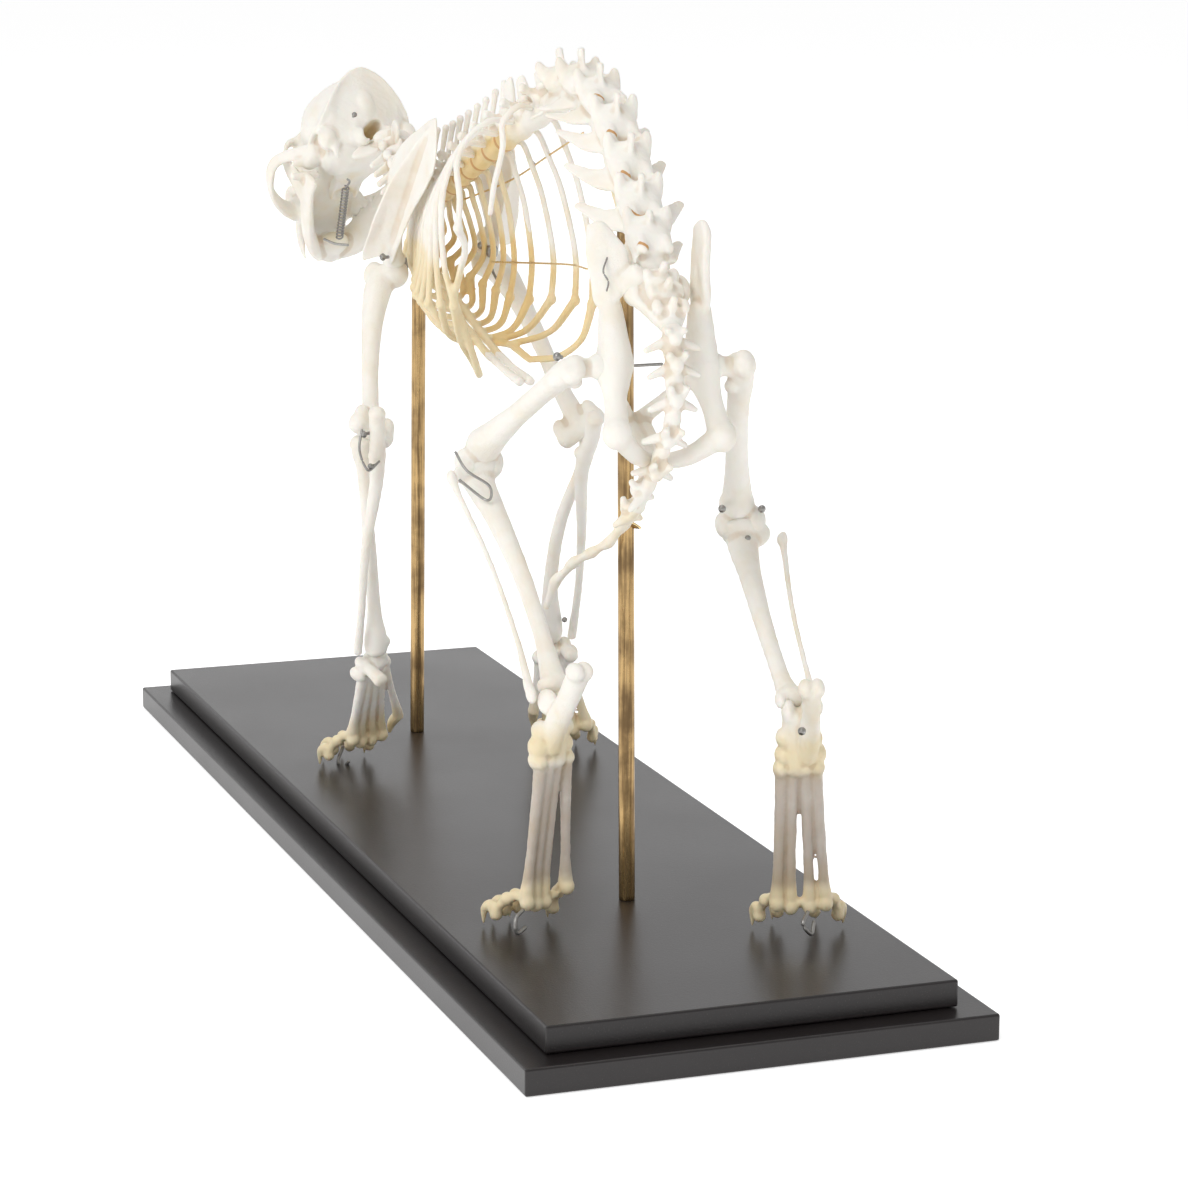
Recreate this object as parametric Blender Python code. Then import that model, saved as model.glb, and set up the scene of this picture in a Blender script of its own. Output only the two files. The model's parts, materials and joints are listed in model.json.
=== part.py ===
"""Mounted skeleton of a domestic cat on a two-tier base with two brass rods.

The script clears the scene and builds every bone and every piece of the stand as one closed mesh.
Lengths in the tables below are millimetres; +X points to the head, +Y to the cat's left, +Z up, and
the origin is the centre of the underside of the base.
"""

import math

import bmesh
import bpy
import numpy as np
from mathutils import Matrix, Vector

# Units and clearances
MM = 0.001
GAP = 0.3
CLEARANCE = 0.6
WELD = 0.0000005
SLIVER = 0.000002

# Stand
LOWER_LENGTH = 600.0
LOWER_WIDTH = 184.6
LOWER_HEIGHT = 10.64
TIER_STEP = 11.7
EDGE_BEVEL = 0.8
BASE_TOP = 21.16
ROD_RADIUS = 3.2
ROD_SIDES = 16
FRONT_ROD_X = 129.7
REAR_ROD_X = -153.0
FRONT_ROD_TOP = 258.0
REAR_ROD_TOP = 287.0
ROD_LEAN = 2.4
FORK_RADIUS = 1.6
FORK_TOP = 266.5

# Joints of the limbs
SHOULDER_L = (81.0, 26.0, 243.4)
ELBOW_L = (33.0, 50.0, 177.5)
WRIST_L = (50.5, 44.0, 78.0)
KNUCKLE_L = (74.0, 41.0, 37.0)
SCAPULA_TOP_L = (29.0, 21.0, 318.0)
SHOULDER_R = (79.5, -18.5, 246.5)
ELBOW_R = (4.3, -38.5, 179.4)
WRIST_R = (53.0, -40.5, 77.7)
KNUCKLE_R = (64.0, -50.7, 37.0)
SCAPULA_TOP_R = (30.0, -4.0, 317.0)
HIP_L = (-198.0, 29.5, 242.0)
KNEE_L = (-99.0, 46.6, 192.0)
HOCK_L = (-188.0, 42.0, 114.0)
FOOT_L = (-183.0, 46.0, 36.0)
HIP_R = (-204.0, -15.0, 241.0)
KNEE_R = (-139.0, -52.0, 167.0)
HOCK_R = (-232.0, -38.5, 113.5)
FOOT_R = (-221.0, -45.5, 36.0)

# Centre line of the vertebral bodies, from the atlas to the end of the sacrum
SPINE_LINE = (
    (177.0, 2.5, 293.0),
    (150.0, 2.5, 286.0),
    (124.0, 3.5, 278.0),
    (98.0, 6.0, 274.0),
    (64.6, 7.0, 279.0),
    (24.0, 7.5, 293.0),
    (-15.0, 6.0, 308.0),
    (-41.0, 3.0, 318.5),
    (-74.6, -2.0, 331.0),
    (-100.5, -2.5, 329.5),
    (-121.0, -2.0, 323.0),
    (-139.5, -0.5, 312.0),
    (-158.0, 1.0, 298.5),
    (-175.0, 3.5, 286.0),
    (-193.0, 6.0, 275.0),
    (-214.0, 7.0, 258.0),
)
NECK_X = (177.0, 164.0, 149.5, 138.5, 127.5, 116.5, 106.0)
CHEST_RADII = (4.6, 4.6, 4.6, 4.6, 4.5, 4.5, 4.5, 4.5, 4.7, 4.9, 5.1, 5.4, 5.6)
CHEST_X = (95.0, 85.5, 75.5, 64.6, 52.5, 40.5, 28.5, 16.0, 2.0, -12.0, -26.0, -41.0, -57.5)
LOIN_X = (-74.6, -91.5, -111.0, -130.5, -149.0, -167.0, -184.0)
TAIL_LINE = (
    (-214.6, 7.0, 257.2),
    (-216.4, 7.0, 249.0),
    (-218.4, 7.0, 238.0),
    (-218.0, 7.5, 224.0),
    (-210.5, 9.0, 210.0),
    (-202.5, 10.8, 197.0),
    (-196.0, 12.6, 187.6),
    (-186.0, 14.6, 179.2),
    (-175.5, 16.6, 170.6),
    (-161.0, 18.6, 163.8),
    (-147.0, 20.6, 157.5),
    (-131.5, 22.6, 147.0),
    (-123.0, 23.6, 135.0),
)

# Skull placement: nose down, turned a little to the cat's left
SKULL_ORIGIN = (182.5, 2.5, 297.5)
SKULL_YAW = 8.8
SKULL_PITCH = 34.0
SKULL_ROLL = -1.0
SKULL_SCALE = 1.03

# Rings of the skull's shell: points from the top of the middle line down the left side to the bottom
SHELL_RINGS = (
    ((0.6, 0, 16.5), (0.8, 3, 15.5), (1.0, 4.5, 13), (1.2, 4.5, 10), (1.2, 3.5, 7.5), (1.2, 2, 6), (1.2, 0, 5.5)),
    ((-1.2, 0, 24.5), (0.6, 7, 21.0), (2.8, 12, 15), (4, 13.5, 9), (4.5, 12, 3), (3.5, 8, -3), (2, 0, -5)),
    ((-2.4, 0, 29.2), (-0.8, 8.2, 26.2), (1.0, 13.8, 20.6), (4, 18.2, 14.0), (8, 21.4, 8), (9, 18, -1), (7, 0, -6)),
    ((2, 0, 29.6), (3.5, 9, 27.2), (6, 15.4, 22), (9, 19.6, 14.8), (12, 21.3, 8), (13, 17, -1), (12, 0, -6)),
    ((14, 0, 32.8), (14.5, 10, 30.4), (15.5, 17, 24.4), (17, 21.0, 16), (18, 21.0, 8), (18, 15, -2), (18, 0, -6.5)),
    ((26, 0, 34.6), (26, 10.4, 32.2), (26, 17.8, 26), (26, 21.2, 17), (26, 20.6, 8), (26, 14, -2), (26, 0, -6.5)),
    ((36, 0, 34), (36, 9.6, 31.6), (36, 15.8, 26), (36, 18.4, 17.5), (36, 17, 8), (36, 11, -1), (36, 0, -5)),
    ((44, 0, 31.6), (44, 8.4, 29.4), (44, 12.8, 24.5), (44, 13.8, 17), (44, 12, 8), (44, 8.5, 0), (44, 0, -4)),
    ((52, 0, 29.2), (52, 9.4, 27.6), (52, 14.8, 24), (52, 13.5, 17), (52, 9.5, 8), (52, 8, 0), (52, 0, -5)),
    ((60, 0, 26.2), (60, 8, 24.8), (60, 13, 20.6), (60, 11.8, 13), (60, 8.5, 6), (60, 10, -2), (60, 0, -6)),
    ((68, 0, 21.5), (68, 6, 20), (68, 10.5, 15), (68, 12.5, 7.5), (68, 13.5, 1), (68, 13.5, -6.5), (68, 0, -6.5)),
    ((76, 0, 15), (76, 5, 13.6), (76, 8.6, 8.5), (76, 10.4, 2), (76, 11.2, -3.5), (76, 11, -8.5), (76, 0, -7)),
    ((83, 0, 8), (83, 4, 7), (83, 6.6, 3), (83, 8, -1.5), (83, 8.8, -5), (83, 8, -9), (83, 0, -7.8)),
    ((86.8, 0, -1), (86.8, 3, -1.2), (87, 5, -3), (87.2, 6, -5), (87.2, 6, -7), (87, 5, -9), (87, 0, -8.8)),
)

# Colours of the plain materials
IVORY = (0.83, 0.78, 0.68)
CARTILAGE = (0.80, 0.66, 0.42)
BRASS = (0.45, 0.33, 0.14)
DARK = (0.035, 0.032, 0.030)


def clear_scene():
    """Removes everything the startup scene holds."""
    for item in list(bpy.data.objects):
        bpy.data.objects.remove(item, do_unlink=True)
    for group in list(bpy.data.collections):
        bpy.data.collections.remove(group)


def new_collection(name, hidden=False):
    """A collection under the scene's own one."""
    group = bpy.data.collections.new(name)
    group.hide_render = hidden
    bpy.context.scene.collection.children.link(group)
    return group


def material(name, colour, roughness, metallic=0.0):
    """A plain Principled material."""
    made = bpy.data.materials.new(name)
    made.use_nodes = True
    shader = made.node_tree.nodes["Principled BSDF"]
    shader.inputs["Base Color"].default_value = (*colour, 1.0)
    shader.inputs["Roughness"].default_value = roughness
    shader.inputs["Metallic"].default_value = metallic
    return made


def vec(point):
    """A point of the tables as a vector in metres."""
    return Vector(point) * MM


def object_from(bm, name):
    """Turns an edited mesh into an object of the scratch collection."""
    bmesh.ops.remove_doubles(bm, verts=bm.verts, dist=WELD)
    bmesh.ops.recalc_face_normals(bm, faces=bm.faces)
    mesh = bpy.data.meshes.new(name)
    bm.to_mesh(mesh)
    bm.free()
    made = bpy.data.objects.new(name, mesh)
    SCRATCH.objects.link(made)
    return made


def tube(points, radii, grow=0.0, sides=6):
    """A rod of changing thickness: a bevelled curve with filled caps, converted to a mesh."""
    curve = bpy.data.curves.new("rod", "CURVE")
    curve.dimensions = "3D"
    curve.bevel_depth = MM
    curve.bevel_resolution = (sides - 4) // 2
    curve.use_fill_caps = True
    spline = curve.splines.new("POLY")
    spline.points.add(len(points) - 1)
    path = [Vector(p) for p in points]
    if grow:
        path[0] = path[0] + (path[0] - path[1]).normalized() * grow
        path[-1] = path[-1] + (path[-1] - path[-2]).normalized() * grow
    for slot, point, radius in zip(spline.points, path, radii):
        slot.co = (*(point * MM), 1.0)
        slot.radius = radius + grow
    holder = bpy.data.objects.new("rod", curve)
    SCRATCH.objects.link(holder)
    mesh = bpy.data.meshes.new_from_object(holder.evaluated_get(bpy.context.evaluated_depsgraph_get()))
    bm = bmesh.new()
    bm.from_mesh(mesh)
    bpy.data.objects.remove(holder, do_unlink=True)
    bpy.data.curves.remove(curve)
    return object_from(bm, "rod")


def knob(centre, size, axes=None, grow=0.0, segments=8, rings=6):
    """An ellipsoid with the given half sizes along the given axes."""
    bm = bmesh.new()
    bmesh.ops.create_uvsphere(bm, u_segments=segments, v_segments=rings, radius=1.0)
    scale = Matrix.Diagonal((*[(s + grow) * MM for s in size], 1.0))
    turn = axes.to_4x4() if axes else Matrix.Identity(4)
    bmesh.ops.transform(bm, matrix=Matrix.Translation(vec(centre)) @ turn @ scale, verts=bm.verts)
    return object_from(bm, "knob")


def plate(outline, thickness, grow=0.0):
    """A flat bone: the outline as one face, given its thickness on both sides."""
    corners = [Vector(p) for p in outline]
    middle = sum(corners, Vector()) / len(corners)
    bm = bmesh.new()
    verts = []
    for corner in corners:
        away = corner - middle
        verts.append(bm.verts.new((corner + away.normalized() * grow) * MM))
    face = bm.faces.new(verts)
    face.normal_update()
    half = face.normal * (0.5 * thickness + grow) * MM
    made = bmesh.ops.extrude_face_region(bm, geom=[face])
    lifted = [v for v in made["geom"] if isinstance(v, bmesh.types.BMVert)]
    bmesh.ops.translate(bm, vec=half * 2.0, verts=lifted)
    bmesh.ops.translate(bm, vec=-half, verts=bm.verts)
    return object_from(bm, "plate")


def band(lower, upper, thickness, grow=0.0):
    """A blade between two edge lines, with half of its thickness on either side."""
    lower = [Vector(p) for p in lower]
    upper = [Vector(p) for p in upper]
    middles = [0.5 * (low + high) for low, high in zip(lower, upper)]
    last = len(middles) - 1
    bm = bmesh.new()
    rows = []
    for i, (low, high) in enumerate(zip(lower, upper)):
        ahead = middles[min(i + 1, last)] - middles[max(i - 1, 0)]
        rise = (high - low).normalized()
        across = rise.cross(ahead).normalized() * (0.5 * thickness + grow)
        low = low - rise * grow
        high = high + rise * grow
        corners = (low - across, low + across, high + across, high - across)
        rows.append([bm.verts.new(corner * MM) for corner in corners])
    for here, after in zip(rows, rows[1:]):
        for i in range(4):
            bm.faces.new((here[i], here[i - 1], after[i - 1], after[i]))
    bm.faces.new(rows[0])
    bm.faces.new(rows[-1])
    return object_from(bm, "band")


def shell(rings, grow=0.0):
    """A closed surface through rings of points, each pushed out from its ring's middle."""
    bm = bmesh.new()
    rows = []
    centres = [sum(ring, Vector()) / len(ring) for ring in rings]
    for ring, centre in zip(rings, centres):
        rows.append([bm.verts.new((p + (p - centre).normalized() * grow) * MM) for p in ring])
    for here, after in zip(rows, rows[1:]):
        for i in range(len(here)):
            bm.faces.new((here[i], here[i - 1], after[i - 1], after[i]))
    for row, centre, inner in ((rows[0], centres[0], centres[1]), (rows[-1], centres[-1], centres[-2])):
        tip = bm.verts.new((centre + (centre - inner).normalized() * grow) * MM)
        for i in range(len(row)):
            bm.faces.new((row[i], row[i - 1], tip))
    return object_from(bm, "shell")


def block(low, high, bevel=0.0):
    """A box between two corners, with its edges bevelled."""
    bm = bmesh.new()
    bmesh.ops.create_cube(bm, size=1.0)
    low, high = Vector(low), Vector(high)
    scale = Matrix.Diagonal((*((high - low) * MM), 1.0))
    bmesh.ops.transform(bm, matrix=Matrix.Translation((low + high) * 0.5 * MM) @ scale, verts=bm.verts)
    if bevel:
        bmesh.ops.bevel(bm, geom=bm.edges[:], offset=bevel * MM, segments=2, affect="EDGES", profile=0.5)
    return object_from(bm, "block")


class Frame:
    """Axes of a bone: along it, to its side and to its front, with points given in millimetres."""

    def __init__(self, start, end, front):
        self.start = Vector(start)
        reach = Vector(end) - self.start
        self.length = reach.length
        self.along = reach.normalized()
        self.side = self.along.cross(Vector(front)).normalized()
        self.front = self.side.cross(self.along).normalized()

    def at(self, along, side=0.0, front=0.0):
        """The point this far along, to the side and to the front."""
        return self.start + self.along * along + self.side * side + self.front * front

    def axes(self):
        """The rotation whose columns are along, side and front."""
        return Matrix((self.along, self.side, self.front)).transposed()


def smooth_line(points, steps):
    """A Catmull-Rom curve through the points, with this many steps between two of them."""
    knots = np.array(points, float)
    knots = np.vstack([2 * knots[0] - knots[1], knots, 2 * knots[-1] - knots[-2]])
    made = []
    for i in range(1, len(knots) - 2):
        before, here, after, beyond = knots[i - 1 : i + 3]
        for t in np.arange(steps) / steps:
            cubic = (3 * (here - after) + beyond - before) * t**3
            square = (2 * before - 5 * here + 4 * after - beyond) * t**2
            made.append(0.5 * (2 * here + (after - before) * t + square + cubic))
    made.append(knots[-2])
    return np.array(made)


SPINE = smooth_line(SPINE_LINE, 8)


def spine_frame(x):
    """The frame of the vertebral column where it passes this x: along to the tail, front up."""
    order = np.argsort(SPINE[:, 0])
    track = SPINE[order]
    here = [np.interp(x, track[:, 0], track[:, i]) for i in range(3)]
    ahead = [np.interp(x - 2.0, track[:, 0], track[:, i]) for i in range(3)]
    return Frame(here, ahead, (0.0, 0.0, 1.0))


def lean(frame, degrees, height, side=0.0, start=0.0):
    """A point over the body of a vertebra: up from it, leaning to the tail by this angle."""
    angle = math.radians(degrees)
    return frame.at(start + height * math.sin(angle), side, height * math.cos(angle))


def bodies(stations, radii, grow, ends=5.0):
    """The vertebral bodies of a run as one rod, narrower at each waist than at its discs."""
    path, widths = [], []
    edges = [stations[0] + ends]
    edges += [0.5 * (a + b) for a, b in zip(stations, stations[1:])]
    edges += [stations[-1] - ends]
    for i, edge in enumerate(edges):
        wide = radii[min(i, len(radii) - 1)]
        path.append(spine_frame(edge).start)
        widths.append(wide)
        if i < len(stations):
            path.append(spine_frame(stations[i]).start)
            widths.append(radii[i] * 0.82)
    return tube(path, widths, grow, sides=8)


def arch(frame, width, height, length, grow):
    """The neural arch: a rounded block on top of the body, wide enough for the cord."""
    return knob(frame.at(0.0, 0.0, height * 0.62), (length, width, height * 0.62), frame.axes(), grow)


def cervical(grow=0.0):
    """The seven neck vertebrae."""
    pieces = [bodies(NECK_X, (4.6, 4.4, 4.2, 4.2, 4.3, 4.4, 4.5), grow, ends=3.5)]
    for i, x in enumerate(NECK_X):
        frame = spine_frame(x)
        pieces.append(arch(frame, 7.2 if i else 9.0, 7.4, 4.4 if i else 4.0, grow))
        for side in (-1, 1):
            if i == 0:
                wing = [frame.at(-4, 5 * side, 1), frame.at(-3, 13 * side, 0), frame.at(3, 18.5 * side, -2)]
                wing += [frame.at(7, 18 * side, -3), frame.at(6, 8 * side, -1)]
                pieces.append(plate(wing, 2.6, grow))
            else:
                root, tip = frame.at(-1, 4 * side, -1), frame.at(5, (11 + 0.4 * i) * side, -4)
                pieces.append(tube([root, tip], (2.4, 1.5), grow))
                pieces.append(knob(frame.at(4.5, 6.4 * side, 5.5), (4.2, 2.2, 2.4), frame.axes(), grow, 6, 4))
        if i == 1:
            crest = [frame.at(-12, 0, 10), frame.at(-4, 0, 15.5), frame.at(8, 0, 15), frame.at(7, 0, 6)]
            crest += [frame.at(-6, 0, 5)]
            pieces.append(plate(crest, 2.2, grow))
        elif i > 1:
            tall = 9.5 + 1.6 * (i - 2)
            pieces.append(tube([lean(frame, 10, 5), lean(frame, 0, tall + 2)], (1.8, 0.9), grow))
    return pieces


def thoracic(grow=0.0):
    """The thirteen chest vertebrae."""
    pieces = [bodies(CHEST_X, CHEST_RADII, grow, ends=4.6)]
    heights = (30, 34, 36, 36, 35, 34, 33, 31, 28.5, 26, 22, 19, 17)
    slants = (22, 32, 40, 44, 46, 48, 48, 46, 42, 34, 12, -4, -10)
    for i, x in enumerate(CHEST_X):
        frame = spine_frame(x)
        pieces.append(arch(frame, 6.4, 7.0, 4.6, grow))
        tip = lean(frame, slants[i], heights[i])
        if i < 10:
            pieces.append(tube([lean(frame, slants[i], 6), tip], (2.0, 1.3), grow))
            pieces.append(knob(tip, (1.7, 1.6, 1.8), None, grow, 6, 4))
        else:
            top = [lean(frame, slants[i], heights[i], start=step) for step in (-3, 3.5)]
            foot = [frame.at(5, 0, 6), frame.at(-4.5, 0, 6)]
            pieces.append(plate([*top, *foot], 2.4, grow))
        for side in (-1, 1):
            root, end = frame.at(-1, 4 * side, 6.2), frame.at(-0.5, 10.2 * side, 8.8)
            pieces.append(tube([root, end], (2.0, 1.6), grow))
    return pieces


def lumbar(grow=0.0):
    """The seven loin vertebrae with their forward-swept side processes."""
    pieces = [bodies(LOIN_X, (5.8, 6.0, 6.2, 6.4, 6.6, 6.8, 6.8), grow, ends=8.4)]
    reaches = (13.0, 18.0, 22.0, 25.0, 27.0, 28.0, 23.0)
    for i, x in enumerate(LOIN_X):
        frame = spine_frame(x)
        pieces.append(arch(frame, 7.2, 8.2, 7.6, grow))
        height = 19.5 - (3.5 if i == 6 else 0.4 * i)
        crest = [lean(frame, -16, height, start=-3), lean(frame, -16, height, start=1.5)]
        crest += [frame.at(7.0, 0, 8), frame.at(-5.5, 0, 8)]
        pieces.append(plate(crest, 2.4, grow))
        for side in (-1, 1):
            base = frame.at(-1.5, 5.0 * side, -1.5)
            bend = frame.at(-7.5, (4 + 0.42 * reaches[i]) * side, -4.0)
            tip = frame.at(-17.0, reaches[i] * 0.76 * side, -7.5)
            pieces.append(tube([base, bend, tip], (3.6, 2.6, 1.4), grow))
            pieces.append(tube([frame.at(-4, 6 * side, 7), frame.at(-9.5, 7.2 * side, 12.5)], (2.8, 1.8), grow))
            pieces.append(tube([frame.at(4, 4 * side, 7), frame.at(9.5, 4.6 * side, 8.5)], (2.6, 1.7), grow))
    return pieces


def sacrum(grow=0.0):
    """The three fused sacral vertebrae with their wings."""
    start, end = Vector((-196.5, 6.2, 271.8)), Vector((-213.2, 7.0, 258.8))
    frame = Frame(start, end, (0.0, 0.0, 1.0))
    pieces = [tube([frame.at(0), frame.at(12), frame.at(frame.length)], (6.4, 5.2, 4.6), grow, 8)]
    pieces.append(knob(frame.at(8, 0, 4), (10, 7, 5), frame.axes(), grow))
    for step, tall in ((3, 13), (11, 12.5), (19, 11)):
        pieces.append(tube([frame.at(step, 0, 5), frame.at(step, 0, tall)], (2.2, 1.4), grow))
    for side in (-1, 1):
        wing = [frame.at(-2, 4 * side, -1), frame.at(-1, 13.5 * side, -1), frame.at(9, 13.5 * side, -1)]
        wing += [frame.at(20, 9 * side, 0), frame.at(22, 3 * side, 0)]
        pieces.append(plate(wing, 6.0, grow))
    return pieces


def caudal(first, last, grow=0.0):
    """A run of tail vertebrae between two joints of the tail line."""
    joints = [Vector(p) for p in TAIL_LINE[first : last + 1]]
    path, widths, pieces = [], [], []
    for i, (a, b) in enumerate(zip(joints, joints[1:])):
        number = first + i
        wide = max(2.3, 4.0 - 0.22 * number)
        path += [a, a.lerp(b, 0.5)]
        widths += [wide, wide * 0.72]
        frame = Frame(a, b, (-1.0, 0.0, 0.3) if number < 5 else (-0.4, 0.0, 1.0))
        half = 0.5 * frame.length
        if number < 7:
            reach = 10.5 - 0.7 * number
            for side in (-1, 1):
                wing = [frame.at(half, 1.5 * side, 0), frame.at(half + 3.5, reach * side, -0.5)]
                pieces.append(tube(wing, (2.2, 1.2), grow))
            pieces.append(knob(frame.at(half - 1, 0, 3.2), (3.6, 2.8, 3.0), frame.axes(), grow, 6, 4))
    path.append(joints[-1])
    widths.append(widths[-2] if last < len(TAIL_LINE) - 1 else 1.4)
    path[0] = path[0] + (path[1] - path[0]).normalized() * (0.0 if first == 0 else GAP)
    return [tube(path, widths, grow, sides=6), *pieces]


def skull_point(point):
    """A point given along the skull: forward of the neck joint, to the left and up."""
    turn = Matrix.Rotation(math.radians(SKULL_YAW), 3, "Z")
    turn = turn @ Matrix.Rotation(math.radians(SKULL_PITCH), 3, "Y")
    turn = turn @ Matrix.Rotation(math.radians(SKULL_ROLL), 3, "X")
    return Vector(SKULL_ORIGIN) + turn @ (Vector(point) * SKULL_SCALE)


def skull_axes():
    """The rotation of the skull."""
    origin = skull_point((0, 0, 0))
    columns = [(skull_point(p) - origin).normalized() for p in ((1, 0, 0), (0, 1, 0), (0, 0, 1))]
    return Matrix(columns).transposed()


def skull(grow=0.0):
    """The skull without its lower jaw, solid inside."""
    axes = skull_axes()

    def lump(centre, size, segments=10, rings=8):
        return knob(skull_point(centre), [s * SKULL_SCALE for s in size], axes, grow, segments, rings)

    def rod(points, radii, sides=6):
        return tube([skull_point(p) for p in points], radii, grow, sides)

    rings = []
    for half in SHELL_RINGS:
        other = [(x, -y, z) for x, y, z in half[-2:0:-1]]
        rings.append([skull_point(p) for p in (*half, *other)])
    pieces = [
        shell(rings, grow),
        lump((25, 0, -5.0), (20.0, 10.0, 3.6)),
        lump((40, 0, -4.0), (14.0, 6.5, 3.8)),
        rod([(-2, 0, 28.6), (8, 0, 31.4), (20, 0, 33.4)], (1.6, 1.4, 1.2)),
    ]
    for side in (-1, 1):
        crest = [(14, 21.6 * side, 6), (8, 20.8 * side, 8), (4, 17.8 * side, 14), (1, 13.2 * side, 20.8)]
        crest += [(-1, 7.6 * side, 26.2), (-2, 0, 28.6)]
        cheek = [(22, 19.5 * side, 4), (30, 24 * side, 5.5), (37, 29 * side, 8), (44, 32 * side, 7.5)]
        cheek += [(50, 32.6 * side, 3.5), (56, 30 * side, -1.5), (62, 24 * side, -4.5), (68, 16 * side, -4.5)]
        canine = [(78, 9.6 * side, -6), (80.6, 10.8 * side, -13)]
        canine += [(81.8, 10.9 * side, -18.5), (81.4, 10.6 * side, -24)]
        pieces += [
            rod(crest, (1.4, 1.5, 1.4, 1.4, 1.4, 1.6)),
            rod(cheek, (2.8, 2.6, 2.6, 2.8, 3.2, 3.4, 3.8, 4.2)),
            rod([(27, 15 * side, 0.5), (30, 21 * side, 1.0), (31.5, 28 * side, 1.5)], (3.2, 2.6, 2.2)),
            rod([(52, 31.6 * side, 4), (49.5, 30 * side, 10), (48.5, 28 * side, 13)], (2.4, 1.7, 1.0)),
            rod([(54, 11 * side, 23), (50, 17.5 * side, 21.5), (47, 23.5 * side, 15)], (3.4, 2.4, 1.0)),
            rod(canine, (3.0, 2.2, 1.6, 0.6)),
            rod([(58.5, 15 * side, -6), (58.8, 15.4 * side, -13.5)], (2.6, 1.2)),
            rod([(66, 13.0 * side, -6), (67, 13.2 * side, -11)], (2.2, 1.0)),
            lump((17, 11.6 * side, -6.4), (12.0, 7.6, 7.0)),
            lump((1.0, 7.2 * side, -2.2), (4.2, 3.8, 4.6), 8, 6),
            lump((9, 19.4 * side, 1.0), (5.0, 4.2, 5.5), 8, 6),
            lump((66, 14.0 * side, -3.5), (8.0, 4.0, 6.2), 8, 6),
        ]
    pieces.append(lump((86.5, 0, -9.5), (2.0, 5.4, 2.4), 8, 6))
    return pieces


def mandible(grow=0.0):
    """The lower jaw: both halves joined at the chin."""
    axes = skull_axes()

    def rod(points, radii, sides=6):
        return tube([skull_point(p) for p in points], radii, grow, sides)

    def blade(lower, upper, thickness, side):
        edges = [[skull_point((x, y * side, z)) for x, y, z in edge] for edge in (lower, upper)]
        return band(*edges, thickness, grow)

    pieces = [
        knob(skull_point((77, 0, -19.5)), (6.5, 6.4, 7.4), axes, grow),
        knob(skull_point((70, 0, -22.0)), (8.0, 8.0, 3.6), axes, grow),
    ]
    lower = [(25, 24.5, -12), (34, 23.8, -17.5), (46, 21, -22.5), (58, 17, -25.5), (70, 11, -27), (80, 4, -25)]
    upper = [(30, 24, -6), (38, 23, -7), (47, 20.5, -8.5), (58, 16.4, -10.5), (70, 11.5, -12.5), (81, 5, -14.5)]
    rear = [(32.5, 24.2, -12), (33.5, 25.0, -4), (37, 26, 4), (42.5, 25.8, 13.0)]
    fore = [(47, 21.5, -13), (48, 22.8, -5), (49.5, 24.2, 5), (48.5, 25.2, 13.0)]
    for side in (-1, 1):
        pieces.append(blade(lower, upper, 4.4, side))
        pieces.append(blade(rear, fore, 2.6, side))
        pieces.append(rod([(33, 18 * side, -5.0), (32.5, 30 * side, -5.2)], (2.3, 2.2)))
        canine = [(80, 5.0 * side, -17), (83.4, 6.4 * side, -12.5), (84.2, 7.0 * side, -8)]
        pieces.append(rod(canine, (2.4, 1.9, 0.7)))
        pieces.append(rod([(67, 12.4 * side, -13), (67.4, 12.2 * side, -8)], (2.0, 1.0)))
        pieces.append(rod([(58, 16.0 * side, -12), (58.4, 15.6 * side, -6.5)], (2.6, 1.1)))
    return pieces


# Ribs from the first to the thirteenth: widest half width, half width and height of the lower end
# of the bone, and where along the body that end is
RIB_WIDTH_LEFT = (7.0, 8.5, 10.0, 11.5, 13.0, 15.0, 17.0, 20.0, 24.0, 28.0, 32.0, 33.0, 25.0)
RIB_WIDTH_RIGHT = (9.5, 12.0, 14.5, 16.0, 17.5, 18.5, 19.5, 20.0, 22.0, 24.5, 26.5, 26.5, 25.0)
RIB_END_WIDTH = (6.5, 7.5, 8.5, 10.0, 12.5, 15.5, 18.0, 20.0, 22.5, 24.5, 26.5, 27.0, 26.5)
RIB_END_Z = (254.0, 250.0, 247.0, 244.5, 242.0, 240.0, 238.5, 237.5, 238.5, 241.0, 243.0, 243.0, 284.0)
RIB_END_X = (97.0, 89.5, 81.0, 72.0, 63.0, 54.0, 43.0, 30.0, 13.0, -8.0, -29.0, -43.0, -63.0)
LAST_RIB_RIGHT = (-88.0, -28.0, 257.0)
SHORT_RIB_LEFT = (-50.0, 36.3, 277.4)
# How far out a rib is at four places down its bend, as shares of its widest half width
RIB_SHARES_LEFT = (0.44, 0.80, 1.0, 0.98)
RIB_SHARES_RIGHT = (0.24, 0.48, 0.76, 0.98)
STERNUM_LINE = (
    (98.0, 8.0, 246.0),
    (76.0, 8.0, 242.0),
    (54.0, 7.8, 236.5),
    (34.0, 7.4, 229.5),
    (17.0, 7.0, 224.0),
    (-4.0, 6.6, 218.5),
    (-24.0, 6.3, 215.0),
    (-45.0, 6.0, 212.5),
)
STERNUM_SHARES = (0.0, 0.12, 0.23, 0.32, 0.39, 0.45, 0.51, 0.56, 0.61)


def sternum_point(share):
    """A point this share of the way along the breastbone, from its front end."""
    line = np.array(STERNUM_LINE)
    place = share * (len(line) - 1)
    return Vector([float(np.interp(place, range(len(line)), line[:, i])) for i in range(3)])


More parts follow.
